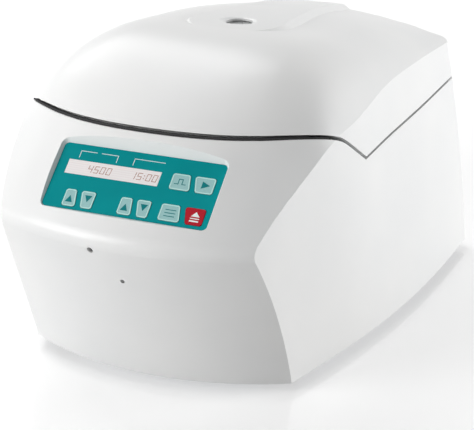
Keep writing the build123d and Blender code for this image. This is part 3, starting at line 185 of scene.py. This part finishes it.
def black_moulding(name, low, high, rough_low, rough_high):
    """Black moulded plastic of small fittings, with its mould grain."""
    made, tree, shader, place = start_material(name, rough_low, IOR=1.5)
    grain = noise(tree, place, 0.7, 3.0, 0.6)
    paint(tree, shader, grain, low, high)
    gloss(tree, shader, grain, rough_low, rough_high)
    bump(tree, shader, grain, 0.00003, 0.4)
    return made


def brushed_steel(name, low, high, stretch):
    """Steel brushed or drawn along one direction: long fine scratches."""
    made, tree, shader, place = start_material(name, 0.3, 1.0)
    lines = add(tree, "ShaderNodeMapping", None, Vector=place, Scale=stretch)
    scratch = noise(tree, lines.outputs["Vector"], 0.35, 3.0)
    paint(tree, shader, scratch, low, high)
    gloss(tree, shader, scratch, 0.24, 0.42)
    bump(tree, shader, scratch, 0.00001, 0.3)
    return made


def turned_metal(name, low, high, pitch, rough_low, rough_high, anodised=0.0):
    """Metal spun or turned about the rotor's axis: fine rings round it."""
    made, tree, shader, place = start_material(name, rough_low, 1.0, Coat_Weight=anodised,
                                               Coat_Roughness=0.2)
    centred = add(tree, "ShaderNodeMapping", None, Vector=place, Location=(0.0, -ROTOR_Y, 0.0))
    split = add(tree, "ShaderNodeSeparateXYZ", None, Vector=centred.outputs["Vector"])
    square_x = calc(tree, "MULTIPLY", split.outputs["X"], split.outputs["X"])
    square_y = calc(tree, "MULTIPLY", split.outputs["Y"], split.outputs["Y"])
    radius = calc(tree, "SQRT", calc(tree, "ADD", square_x, square_y))
    ring_place = add(tree, "ShaderNodeCombineXYZ", None, X=radius, Z=split.outputs["Z"])
    rings = noise(tree, ring_place.outputs["Vector"], pitch, 2.0, 0.6)
    paint(tree, shader, rings, low, high)
    gloss(tree, shader, rings, rough_low, rough_high)
    bump(tree, shader, rings, 0.00001, 0.35)
    return made


def zinc_plate():
    """Zinc-plated sheet steel: a faint crystalline mottling of two greys."""
    made, tree, shader, place = start_material("zinc_plated_sheet", 0.4, 1.0)
    flakes = add(tree, "ShaderNodeTexVoronoi", None, Vector=place, Scale=per_metre(6.0))
    paint(tree, shader, flakes.outputs["Distance"], "9A9EA3", "BCC0C4", 0.1, 0.8)
    gloss(tree, shader, flakes.outputs["Distance"], 0.32, 0.5)
    return made


def black_enamel():
    """Stove-enamelled steel of the motor: black with slight orange peel."""
    made, tree, shader, place = start_material("black_stove_enamel", 0.35, IOR=1.5)
    peel = noise(tree, place, 2.0, 2.0)
    paint(tree, shader, peel, "17181A", "232427")
    gloss(tree, shader, peel, 0.3, 0.42)
    bump(tree, shader, peel, 0.00006, 0.5)
    return made


def cast_alloy():
    """Die-cast aluminium end cap: grainy, dull, with darker pores."""
    made, tree, shader, place = start_material("die_cast_aluminium", 0.5, 1.0)
    grain = noise(tree, place, 1.2, 5.0, 0.7)
    paint(tree, shader, grain, "8E9194", "B3B5B7")
    gloss(tree, shader, grain, 0.45, 0.65)
    bump(tree, shader, grain, 0.00008, 0.5)
    return made


def polished_steel():
    """Ground and polished bearing steel, bright, with a trace of the grinding."""
    made, tree, shader, place = start_material("ground_bearing_steel", 0.15, 1.0)
    trace = noise(tree, place, 0.4, 2.0)
    paint(tree, shader, trace, "C3C5C8", "DADCDE")
    gloss(tree, shader, trace, 0.1, 0.24)
    return made


def laminated_steel():
    """Stack of varnished steel sheets of 0.5 mm: dark and lighter layers, one above the other."""
    made, tree, shader, place = start_material("laminated_core_steel", 0.45, 0.8)
    layers = bands(tree, place, "Z", 0.5)
    paint(tree, shader, layers, "3B3F45", "6C7078")
    bump(tree, shader, layers, 0.00008, 0.6)
    return made


def copper_winding():
    """Enamelled copper wire of 0.8 mm, wound: orange-brown ridges and their shadows."""
    made, tree, shader, place = start_material("enamelled_copper_wire", 0.3, 1.0)
    wires = bands(tree, place, "Z", 0.8, 1.5)
    paint(tree, shader, wires, "7E3E1C", "C9773B")
    bump(tree, shader, wires, 0.0003, 0.6)
    return made


def panel_foil():
    """Polyester front foil printed teal from behind, with a very fine satin texture."""
    made, tree, shader, place = start_material("printed_teal_foil", 0.42, IOR=1.57,
                                               Specular_IOR_Level=0.06)
    satin = noise(tree, place, 0.6, 2.0)
    print_tone = noise(tree, place, 25.0, 2.0)
    paint(tree, shader, print_tone, "008F94", "01969B")
    gloss(tree, shader, satin, 0.36, 0.48)
    bump(tree, shader, satin, 0.00001, 0.3)
    return made


def key_plastic(name, low, high):
    """Moulded key: dense colour with a soft satin top."""
    made, tree, shader, place = start_material(name, 0.4, IOR=1.5, Specular_IOR_Level=0.2)
    grain = noise(tree, place, 0.7, 3.0)
    paint(tree, shader, grain, low, high)
    gloss(tree, shader, grain, 0.36, 0.48)
    bump(tree, shader, grain, 0.00001, 0.3)
    return made


def display_window():
    """Clear acrylic over a pale display: pinkish white, glossy, with the display's fine rows."""
    made, tree, shader, place = start_material("display_acrylic", 0.12, IOR=1.49, Specular_IOR_Level=0.3)
    rows = bands(tree, place, "Y", 0.6)
    paint(tree, shader, rows, "F8F1F1", "FCF7F6", 0.2, 0.8)
    return made


def ink(name, low, high):
    """Screen-printed ink: flat, matt, with the faint mottle of the mesh."""
    made, tree, shader, place = start_material(name, 0.55, IOR=1.5, Specular_IOR_Level=0.15)
    mottle = noise(tree, place, 0.4, 2.0)
    paint(tree, shader, mottle, low, high)
    return made


def clear_polycarbonate():
    """Polycarbonate window, clear, with a trace of fine wiping marks in its gloss."""
    made, tree, shader, place = start_material("clear_polycarbonate", 0.04, IOR=1.58,
                                               Transmission_Weight=1.0)
    wiped = noise(tree, place, 3.0, 3.0)
    paint(tree, shader, wiped, "EEF3F3", "F8FAFA")
    gloss(tree, shader, wiped, 0.02, 0.08)
    return made


def circuit_board():
    """Glass-fibre board under green solder mask, with the weave and tracks showing through."""
    made, tree, shader, place = start_material("solder_masked_board", 0.35, IOR=1.55)
    tracks = add(tree, "ShaderNodeTexBrick", None, Vector=place, Scale=per_metre(14.0),
                 Color1=linear("1C5B35"), Color2=linear("226B3F"), Mortar=linear("3B8A55"),
                 Mortar_Size=0.03)
    tree.links.new(tracks.outputs["Color"], shader.inputs["Base Color"])
    return made


def component_cases():
    """Sleeved capacitors and moulded cases: dark blue-black with a printed-film sheen."""
    made, tree, shader, place = start_material("component_sleeves", 0.35, IOR=1.5)
    film = noise(tree, place, 4.0, 2.0)
    paint(tree, shader, film, "1C2233", "2B3348")
    gloss(tree, shader, film, 0.28, 0.42)
    return made


def nickel_brass():
    """Nickel-plated brass contacts, warm where the plating is thin."""
    made, tree, shader, place = start_material("nickel_plated_brass", 0.25, 1.0)
    thin = noise(tree, place, 2.0, 3.0)
    paint(tree, shader, thin, "C9BC8E", "D9D7CE")
    gloss(tree, shader, thin, 0.18, 0.32)
    return made


def seen_directly(tree):
    """1 for what the camera, a reflection or a clear window sees, 0 for light that bounces."""
    ray = add(tree, "ShaderNodeLightPath").outputs
    return calc(tree, "MAXIMUM", calc(tree, "MAXIMUM", ray["Is Camera Ray"], ray["Is Glossy Ray"]),
                ray["Is Transmission Ray"])


def floor_surface():
    """Pale polished table top: white to the eye, it takes a soft shadow and a faint reflection."""
    made, tree, shader, place = start_material("pale_polished_floor", 0.12, IOR=1.5)
    haze = noise(tree, place, 400.0, 2.0)
    paint(tree, shader, haze, "CBCBCB", "D0D0D0")
    # what the eye and the reflections see of it is lifted to white, and its shadow stays
    shader.inputs["Emission Color"].default_value = PLAIN_WHITE
    lift = calc(tree, "MULTIPLY", seen_directly(tree), FLOOR_LIFT)
    tree.links.new(lift, shader.inputs["Emission Strength"])
    return made


WHITE_ABS = white_abs()
GREY_LINER = grey_liner()
BLACK_RUBBER = dark_rubber("moulded_black_rubber", "141416", "222224")
GREY_RUBBER = dark_rubber("silicone_rubber", "4A4C4E", "5C5E60")
BLACK_PLASTIC = black_moulding("black_moulded_nylon", "0E0E10", "19191B", 0.42, 0.56)
ROCKER_PLASTIC = black_moulding("black_polished_rocker", "0B0B0C", "121213", 0.16, 0.24)
WIRE_VINYL = black_moulding("vinyl_insulation", "1A1A1C", "26262A", 0.45, 0.6)
HINGE_STEEL = brushed_steel("brushed_stainless_steel", "A9ABAE", "C6C8CA", (0.05, 1.0, 1.0))
SPRING_STEEL = brushed_steel("drawn_spring_steel", "8F9296", "ADB0B4", (1.0, 0.2, 1.0))
SCREW_STEEL = brushed_steel("zinc_plated_screw", "A8AAA8", "C4C5BF", (1.0, 1.0, 0.3))
BOWL_STEEL = turned_metal("spun_stainless_steel", "B4B7BA", "CDD0D2", 0.8, 0.2, 0.36)
ROTOR_ALLOY = turned_metal("anodised_aluminium", "6F747B", "858A92", 0.5, 0.3, 0.42, 0.2)
NUT_ALLOY = turned_metal("turned_aluminium", "B5B8BC", "CFD2D5", 0.3, 0.22, 0.34)
ZINC = zinc_plate()
ENAMEL = black_enamel()
CAST_ALLOY = cast_alloy()
BEARING_STEEL = polished_steel()
CORE_STEEL = laminated_steel()
COPPER = copper_winding()
TEAL_FOIL = panel_foil()
KEY_TEAL = key_plastic("pale_teal_key", "9AC6C6", "A4CFCE")
KEY_RED = key_plastic("red_key", "B00C20", "BB1328")
DISPLAY = display_window()
INK_WHITE = ink("white_screen_ink", "F0FAF8", "F8FEFC")
INK_TEAL = ink("teal_screen_ink", "00767A", "048084")
# Pale ink of the keys' rims: painted highlight of their raised edges
KEY_EDGE_HIGHLIGHT = ink("pale_teal_painted_highlight", "C0EAE4", "CCF2EC")
INK_RED = ink("pale_red_digits", "A8705C", "B67F6A")
CLEAR = clear_polycarbonate()
BOARD = circuit_board()
CASES = component_cases()
NICKEL = nickel_brass()

# What each node is finished with: the pale keys aren't listed, they share one plastic
FINISH = {
    "casing": WHITE_ABS,
    "lid_cover": WHITE_ABS,
    "lid_lining": GREY_LINER,
    "viewport_tube": GREY_LINER,
    "viewport_glass": CLEAR,
    "base_plate": ZINC,
    "motor_plate": ZINC,
    "lock_frame": ZINC,
    "lock_solenoid": ZINC,
    "rubber_feet": BLACK_RUBBER,
    "motor_dampers": BLACK_RUBBER,
    "chamber_gasket": GREY_RUBBER,
    "shaft_boot": GREY_RUBBER,
    "casing_screws": SCREW_STEEL,
    "damper_screws": SCREW_STEEL,
    "lid_screws": SCREW_STEEL,
    "hinge_towers": HINGE_STEEL,
    "hinge_brackets": HINGE_STEEL,
    "hinge_pins": HINGE_STEEL,
    "striker": HINGE_STEEL,
    "lock_lever": HINGE_STEEL,
    "lock_spring": SPRING_STEEL,
    "chamber_bowl": BOWL_STEEL,
    "motor_housing": ENAMEL,
    "motor_end_cap": CAST_ALLOY,
    "motor_bearings": BEARING_STEEL,
    "motor_shaft": BEARING_STEEL,
    "solenoid_plunger": BEARING_STEEL,
    "stator_core": CORE_STEEL,
    "armature": CORE_STEEL,
    "stator_windings": COPPER,
    "angle_rotor": ROTOR_ALLOY,
    "rotor_nut": NUT_ALLOY,
    "panel_overlay": TEAL_FOIL,
    "display_lens": DISPLAY,
    "display_module": BLACK_PLASTIC,
    "control_board": BOARD,
    "power_board": BOARD,
    "board_chips": BLACK_PLASTIC,
    "key_switches": BLACK_PLASTIC,
    "microswitches": BLACK_PLASTIC,
    "speed_sensor": BLACK_PLASTIC,
    "sounder": BLACK_PLASTIC,
    "power_parts": CASES,
    "wiring_harness": WIRE_VINYL,
    "mains_inlet": BLACK_PLASTIC,
    "fuse_drawer": BLACK_PLASTIC,
    "switch_frame": BLACK_PLASTIC,
    "mains_rocker": ROCKER_PLASTIC,
    "inlet_pins": NICKEL,
    "fuses": CLEAR,
    "key_stop": KEY_RED,
}
for name, thing in nodes.items():
    finish = FINISH.get(name, KEY_TEAL)
    if thing.data.materials:
        for index in range(len(thing.data.materials)):
            thing.data.materials[index] = finish
    else:
        thing.data.materials.append(finish)


def clear_selection():
    """Leaves edit mode and selects nothing."""
    if bpy.context.object and bpy.context.object.mode != "OBJECT":
        bpy.ops.object.mode_set(mode="OBJECT")
    bpy.ops.object.select_all(action="DESELECT")


def settle(thing, place):
    """Puts a piece in its place and leaves its object at the origin."""
    thing.data.transform(place @ thing.matrix_world)
    thing.matrix_world = Matrix.Identity(4)
    thing.data.update()


def thicken(thing, thick):
    """Gives a flat shape in edit mode its thickness in millimetres and leaves edit mode."""
    bpy.ops.mesh.extrude_region_move(TRANSFORM_OT_translate={"value": (0.0, 0.0, thick * MM)})
    bpy.ops.mesh.select_all(action="SELECT")
    bpy.ops.mesh.normals_make_consistent(inside=False)
    bpy.ops.object.mode_set(mode="OBJECT")
    return thing


def flat_ink(corners, border=0.0):
    """Printed shape from its corners in millimetres: an n-sided disc whose corners are then placed.
    With a border only a frame of that width is left of it."""
    clear_selection()
    bpy.ops.mesh.primitive_circle_add(vertices=len(corners), radius=MM, fill_type="NGON")
    thing = bpy.context.object
    for vertex, (x, y) in zip(thing.data.vertices, corners):
        vertex.co = (x * MM, y * MM, 0.0)
    bpy.ops.object.mode_set(mode="EDIT")
    bpy.ops.mesh.select_all(action="SELECT")
    bpy.ops.mesh.normals_make_consistent(inside=False)
    if border:
        bpy.ops.mesh.inset(thickness=border * MM)
        bpy.ops.mesh.delete(type="FACE")
        bpy.ops.mesh.select_all(action="SELECT")
    return thicken(thing, INK)


def joined(name, shapes, place, body, material):
    """Several shapes as one piece in its place, which moves with its body."""
    clear_selection()
    for shape in shapes:
        shape.select_set(True)
    bpy.context.view_layer.objects.active = shapes[0]
    if len(shapes) > 1:
        bpy.ops.object.join()
    thing = bpy.context.object
    thing.name = name
    thing.data.name = name
    settle(thing, place)
    thing.data.materials.clear()
    thing.data.materials.append(material)
    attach(thing, body)


def bar(x0, y0, x1, y1):
    """Printed rectangle from its lower left and its upper right corner."""
    return flat_ink([(x0, y0), (x1, y0), (x1, y1), (x0, y1)])


def on_panel(height):
    """Place on the panel, this many millimetres over its plane."""
    return PANEL @ Matrix.Translation((0.0, 0.0, height * MM))


# Bracket lines over the display window, printed pale on the foil, and their width in millimetres
LINE = 0.4
brackets = [
    bar(-43.0 - LINE, 36.8, -43.0, 42.0),
    bar(-43.0 - LINE, 42.0 - LINE, -32.0, 42.0),
    bar(-28.9, 42.0 - LINE, -17.0, 42.0),
    bar(-17.0 - LINE, 36.8, -17.0, 42.0),
    bar(-5.4 - LINE, 36.7, -5.4, 41.8),
    bar(-5.4 - LINE, 41.8 - LINE, 15.4, 41.8),
]
joined("bracket_lines", brackets, on_panel(0.0), "casing", INK_WHITE)

# Seven-segment figures in the display, faint red, in millimetres
SEGMENTS = {"0": "abcdef", "1": "bc", "4": "fgbc", "5": "afgcd"}
FIGURE_WIDTH = 3.2
FIGURE_HEIGHT = 5.2
FIGURE_STEP = 4.3
FIGURE_STROKE = 0.6
FIGURE_SLANT = 0.12
FIGURE_FOOT = 27.2
# What each bar is short of at its ends and sides, so that the bars stay apart
FIGURE_TRIM = 0.12
COLON_STEP = 1.9
COLON_DOTS = [(0.2, 1.2, 0.8, 1.8), (0.5, 3.2, 1.1, 3.8)]


def figure(digit, x):
    """One figure from its left side, as slender leaning bars."""
    half = FIGURE_HEIGHT / 2.0
    inner_right = FIGURE_WIDTH - FIGURE_STROKE
    spots = {
        "a": (0, FIGURE_HEIGHT - FIGURE_STROKE, FIGURE_WIDTH, FIGURE_HEIGHT),
        "b": (inner_right, half, FIGURE_WIDTH, FIGURE_HEIGHT),
        "c": (inner_right, 0, FIGURE_WIDTH, half),
        "d": (0, 0, FIGURE_WIDTH, FIGURE_STROKE),
        "e": (0, 0, FIGURE_STROKE, half),
        "f": (0, half, FIGURE_STROKE, FIGURE_HEIGHT),
        "g": (0, half - FIGURE_STROKE / 2, FIGURE_WIDTH, half + FIGURE_STROKE / 2),
    }
    made = []
    for letter in SEGMENTS[digit]:
        x0, y0, x1, y1 = spots[letter]
        x0, y0, x1, y1 = x0 + FIGURE_TRIM, y0 + FIGURE_TRIM, x1 - FIGURE_TRIM, y1 - FIGURE_TRIM
        corners = [(x0, y0), (x1, y0), (x1, y1), (x0, y1)]
        made.append(flat_ink([(x + cx + cy * FIGURE_SLANT, FIGURE_FOOT + cy) for cx, cy in corners]))
    return made


def figures(text, x):
    """A row of figures from its left side."""
    made = []
    for letter in text:
        if letter == ":":
            for left, low, right, high in COLON_DOTS:
                made.append(bar(x + left, FIGURE_FOOT + low, x + right, FIGURE_FOOT + high))
            x += COLON_STEP
        else:
            made.extend(figure(letter, x))
            x += FIGURE_STEP
    return made


joined("display_figures", figures("4500", -34.5) + figures("15:00", -4.6), on_panel(0.0), "casing",
       INK_RED)

# Outlines of the keys in millimetres: left foot, left head, right head, right foot, low and high
KEY_SHAPES = {
    "key_speed_up": (-42.6, -42.6, -35.7, -33.3, 2.0, 13.8),
    "key_speed_down": (-29.4, -32.0, -22.1, -22.1, 2.0, 13.8),
    "key_time_up": (-4.5, -4.5, 2.9, 5.0, 2.0, 13.8),
    "key_time_down": (9.2, 6.3, 16.0, 16.0, 2.0, 13.8),
    "key_impulse": (23.2, 23.2, 34.7, 37.0, 24.5, 35.6),
    "key_start": (40.8, 38.0, 52.0, 52.0, 24.5, 35.6),
    "key_open_lid": (23.2, 23.2, 35.1, 37.6, 2.4, 13.8),
}
# Rounding of the keys' rims and width of the rims with their painted highlight, in millimetres, and the
# steps of a rounding
KEY_ROUND = 1.6
RIM = 0.75
ROUND_STEPS = 5


def rounded(corners, radius):
    """Points of an outline whose corners are rounded, for corners given anticlockwise."""
    made = []
    for index, here in enumerate(corners):
        before = corners[index - 1]
        after = corners[(index + 1) % len(corners)]
        way_in = (Vector(here) - Vector(before)).normalized()
        way_out = (Vector(after) - Vector(here)).normalized()
        turn = way_in.angle(way_out)
        inward = Vector((-way_in.y, way_in.x))
        centre = Vector(here) - way_in * (radius * math.tan(turn / 2.0)) + inward * radius
        for step in range(ROUND_STEPS + 1):
            spoke = Matrix.Rotation(turn * step / ROUND_STEPS, 2) @ inward
            made.append(centre - spoke * radius)
    return made


# Each pale key has a lighter rim printed round it: a painted highlight of its raised edge
for name, (foot_left, head_left, head_right, foot_right, low, high) in KEY_SHAPES.items():
    corners = [(foot_left, low), (foot_right, low), (head_right, high), (head_left, high)]
    outline = rounded(corners, KEY_ROUND)
    joined(name + "_rim", [flat_ink(outline, RIM)], on_panel(KEY_TOP), name, KEY_EDGE_HIGHLIGHT)

# Arrows: half their width, and how far their foot is from their middle as a share of that
ARROW_HALF = 2.5
ARROW_FOOT = 0.9


def arrow(cx, cy, up):
    """Triangle that points up or down the slope, from its middle."""
    side = 1 if up else -1
    foot = cy - side * ARROW_HALF * ARROW_FOOT
    tip = cy + side * ARROW_HALF
    return flat_ink([(cx - ARROW_HALF, foot), (cx + ARROW_HALF, foot), (cx, tip)][::side])


# Middles of the arrows in millimetres, and whether they point up
KEY_MARKS = {
    "key_speed_up": (-38.6, 7.0, True),
    "key_speed_down": (-26.4, 8.8, False),
    "key_time_up": (-0.4, 7.0, True),
    "key_time_down": (11.9, 8.8, False),
}
for name, (x, y, up) in KEY_MARKS.items():
    joined(name + "_mark", [arrow(x, y, up)], on_panel(KEY_TOP), name, INK_TEAL)

# Plain signs on the larger keys: a pulse, a triangle, three bars, and a triangle over two bars
LARGE_MARKS = {
    "key_impulse": (INK_TEAL, "key_teal", [
        bar(25.6, 28.2, 28.4, 28.7), bar(28.0, 28.2, 28.5, 32.2), bar(28.0, 31.7, 31.0, 32.2),
        bar(30.6, 28.2, 31.1, 32.2), bar(30.6, 28.2, 33.4, 28.7),
    ]),
    "key_start": (INK_TEAL, "key_teal", [flat_ink([(43.8, 27.6), (49.2, 30.2), (43.8, 32.8)])]),
    "key_open_lid": (INK_TEAL, "key_teal", [
        bar(26.4, 5.4, 33.6, 5.9), bar(26.4, 7.6, 33.6, 8.1), bar(26.4, 9.8, 33.6, 10.3),
    ]),
    "key_stop": (INK_WHITE, "key_red", [
        bar(43.8, 4.4, 49.8, 5.4), bar(43.8, 6.4, 49.8, 7.0),
        flat_ink([(43.9, 8.0), (49.7, 8.0), (46.8, 11.4)]),
    ]),
}
for name, (material, slot, shapes) in LARGE_MARKS.items():
    joined(name + "_mark", shapes, on_panel(KEY_TOP), name, material)

# Black strip with the rubber finish in the gap under the front of the lid: painted shadow that darkens
# the seam. It lies on the casing's rim, behind its edge.
# Measures in millimetres
SHADOW_STRIP_FOOT = 169.0
SHADOW_STRIP_HEIGHT = 1.1
SHADOW_STRIP_SET_BACK = 1.0
SHADOW_STRIP_DEPTH = 3.0
SHADOW_STRIP_REAR_Y = -76.0
# The rim is level at the front and bends down from here to the rear
BEND_Y = -102.28
BEND_RADIUS = 84.0
# How near to the rim's height its vertices are looked for
RIM_MATCH = 0.04
# Of the outline's spots in this band at its rear, only those in the band at its sides are kept
REAR_BAND = 0.5
SIDE_BAND = 1.0


def rim_height(y):
    """Height of the casing's rim in millimetres."""
    past = max(y - BEND_Y, 0.0)
    return SHADOW_STRIP_FOOT - BEND_RADIUS + math.sqrt(BEND_RADIUS ** 2 - past ** 2)


def rim_front():
    """Front line of the casing's rim from left to right, in millimetres, from its convex outline."""
    spots = [Vector((vertex.co.x / MM, vertex.co.y / MM)) for vertex in nodes["casing"].data.vertices
             if vertex.co.y / MM < SHADOW_STRIP_REAR_Y
             and abs(vertex.co.z / MM - rim_height(vertex.co.y / MM)) < RIM_MATCH]
    line = [spots[index] for index in geometry.convex_hull_2d(spots)]
    rear_y = max(spot.y for spot in line)
    half_width = max(abs(spot.x) for spot in line)
    kept = [spot for spot in line if spot.y < rear_y - REAR_BAND or abs(spot.x) > half_width - SIDE_BAND]
    return sorted(kept, key=lambda spot: spot.x)


def set_back(line, distance):
    """The same line, moved towards the rear by a distance square to itself."""
    made = []
    for index, here in enumerate(line):
        before = line[max(index - 1, 0)]
        after = line[min(index + 1, len(line) - 1)]
        way = (after - before).normalized()
        made.append(here + Vector((-way.y, way.x)) * distance)
    return made


def rim_strip(front, rear):
    """Dark strip of painted shadow on the rim between two lines in millimetres: a grid whose vertices
    are then placed.
    """
    clear_selection()
    bpy.ops.mesh.primitive_grid_add(x_subdivisions=len(front) - 1, y_subdivisions=1, size=MM)
    thing = bpy.context.object
    for vertex, (x, y) in zip(thing.data.vertices, front + rear):
        vertex.co = (x * MM, y * MM, rim_height(y) * MM)
    bpy.ops.object.mode_set(mode="EDIT")
    bpy.ops.mesh.select_all(action="SELECT")
    return thicken(thing, SHADOW_STRIP_HEIGHT)


# The black strip is painted shadow in the seam between lid and casing
rim_line = rim_front()
shadow_strip = rim_strip(set_back(rim_line, SHADOW_STRIP_SET_BACK), set_back(rim_line, SHADOW_STRIP_SET_BACK + SHADOW_STRIP_DEPTH))
joined("seam_shadow_strip", [shadow_strip], Matrix.Identity(4), "casing", BLACK_RUBBER)

# Floor, backdrop and light
clear_selection()
bpy.ops.mesh.primitive_plane_add(size=FLOOR_SIZE)
floor = bpy.context.object
floor.name = "floor"
floor.data.materials.append(floor_surface())

world = bpy.context.scene.world or bpy.data.worlds.new("studio")
bpy.context.scene.world = world
world.use_nodes = True
sky = world.node_tree
for old in list(sky.nodes):
    sky.nodes.remove(old)
ambient = add(sky, "ShaderNodeBackground", None, Color=PLAIN_WHITE, Strength=AMBIENT)
backdrop = add(sky, "ShaderNodeBackground", None, Color=PLAIN_WHITE, Strength=BACKDROP)
mixed = add(sky, "ShaderNodeMixShader", None, i0=seen_directly(sky), i1=ambient.outputs[0],
            i2=backdrop.outputs[0])
add(sky, "ShaderNodeOutputWorld", None, Surface=mixed.outputs[0])

# Square lamps, all aimed at one spot in the machine: spot, size and watts
LAMPS = {
    "front_lamp": ((-1.35, -1.60, 0.75), 1.2, 32.0),
    "upper_lamp": ((-1.20, 0.90, 1.75), 1.4, 21.0),
    "right_lamp": ((1.95, 1.00, 0.42), 0.8, 32.0),
}
LAMP_AIM = Vector((0.0, 0.0, 0.1))
for name, (spot, size, watts) in LAMPS.items():
    data = bpy.data.lights.new(name, "AREA")
    data.shape = "SQUARE"
    data.size = size
    data.energy = watts
    lamp = bpy.data.objects.new(name, data)
    bpy.context.scene.collection.objects.link(lamp)
    lamp.location = spot
    lamp.rotation_euler = (LAMP_AIM - Vector(spot)).to_track_quat("-Z", "Y").to_euler()

# Camera: the photograph's view, from the front and to its right, in metres and millimetres of lens
VIEW_TURN = math.radians(22.9)
VIEW_DROP = math.radians(21.8)
VIEW_SPOT = (0.42707, -0.98925, 0.50081)
SENSOR_WIDTH = 36.0
FOCAL_LENGTH = 124.5
FAR_END = 50.0
camera_data = bpy.data.cameras.new("view")
camera_data.sensor_width = SENSOR_WIDTH
camera_data.lens = FOCAL_LENGTH
camera_data.clip_end = FAR_END
camera = bpy.data.objects.new("view", camera_data)
bpy.context.scene.collection.objects.link(camera)
camera.location = VIEW_SPOT
camera.rotation_euler = (math.pi / 2.0 - VIEW_DROP, 0.0, VIEW_TURN)
bpy.context.scene.camera = camera
bpy.context.scene.view_settings.view_transform = "Standard"

clear_selection()
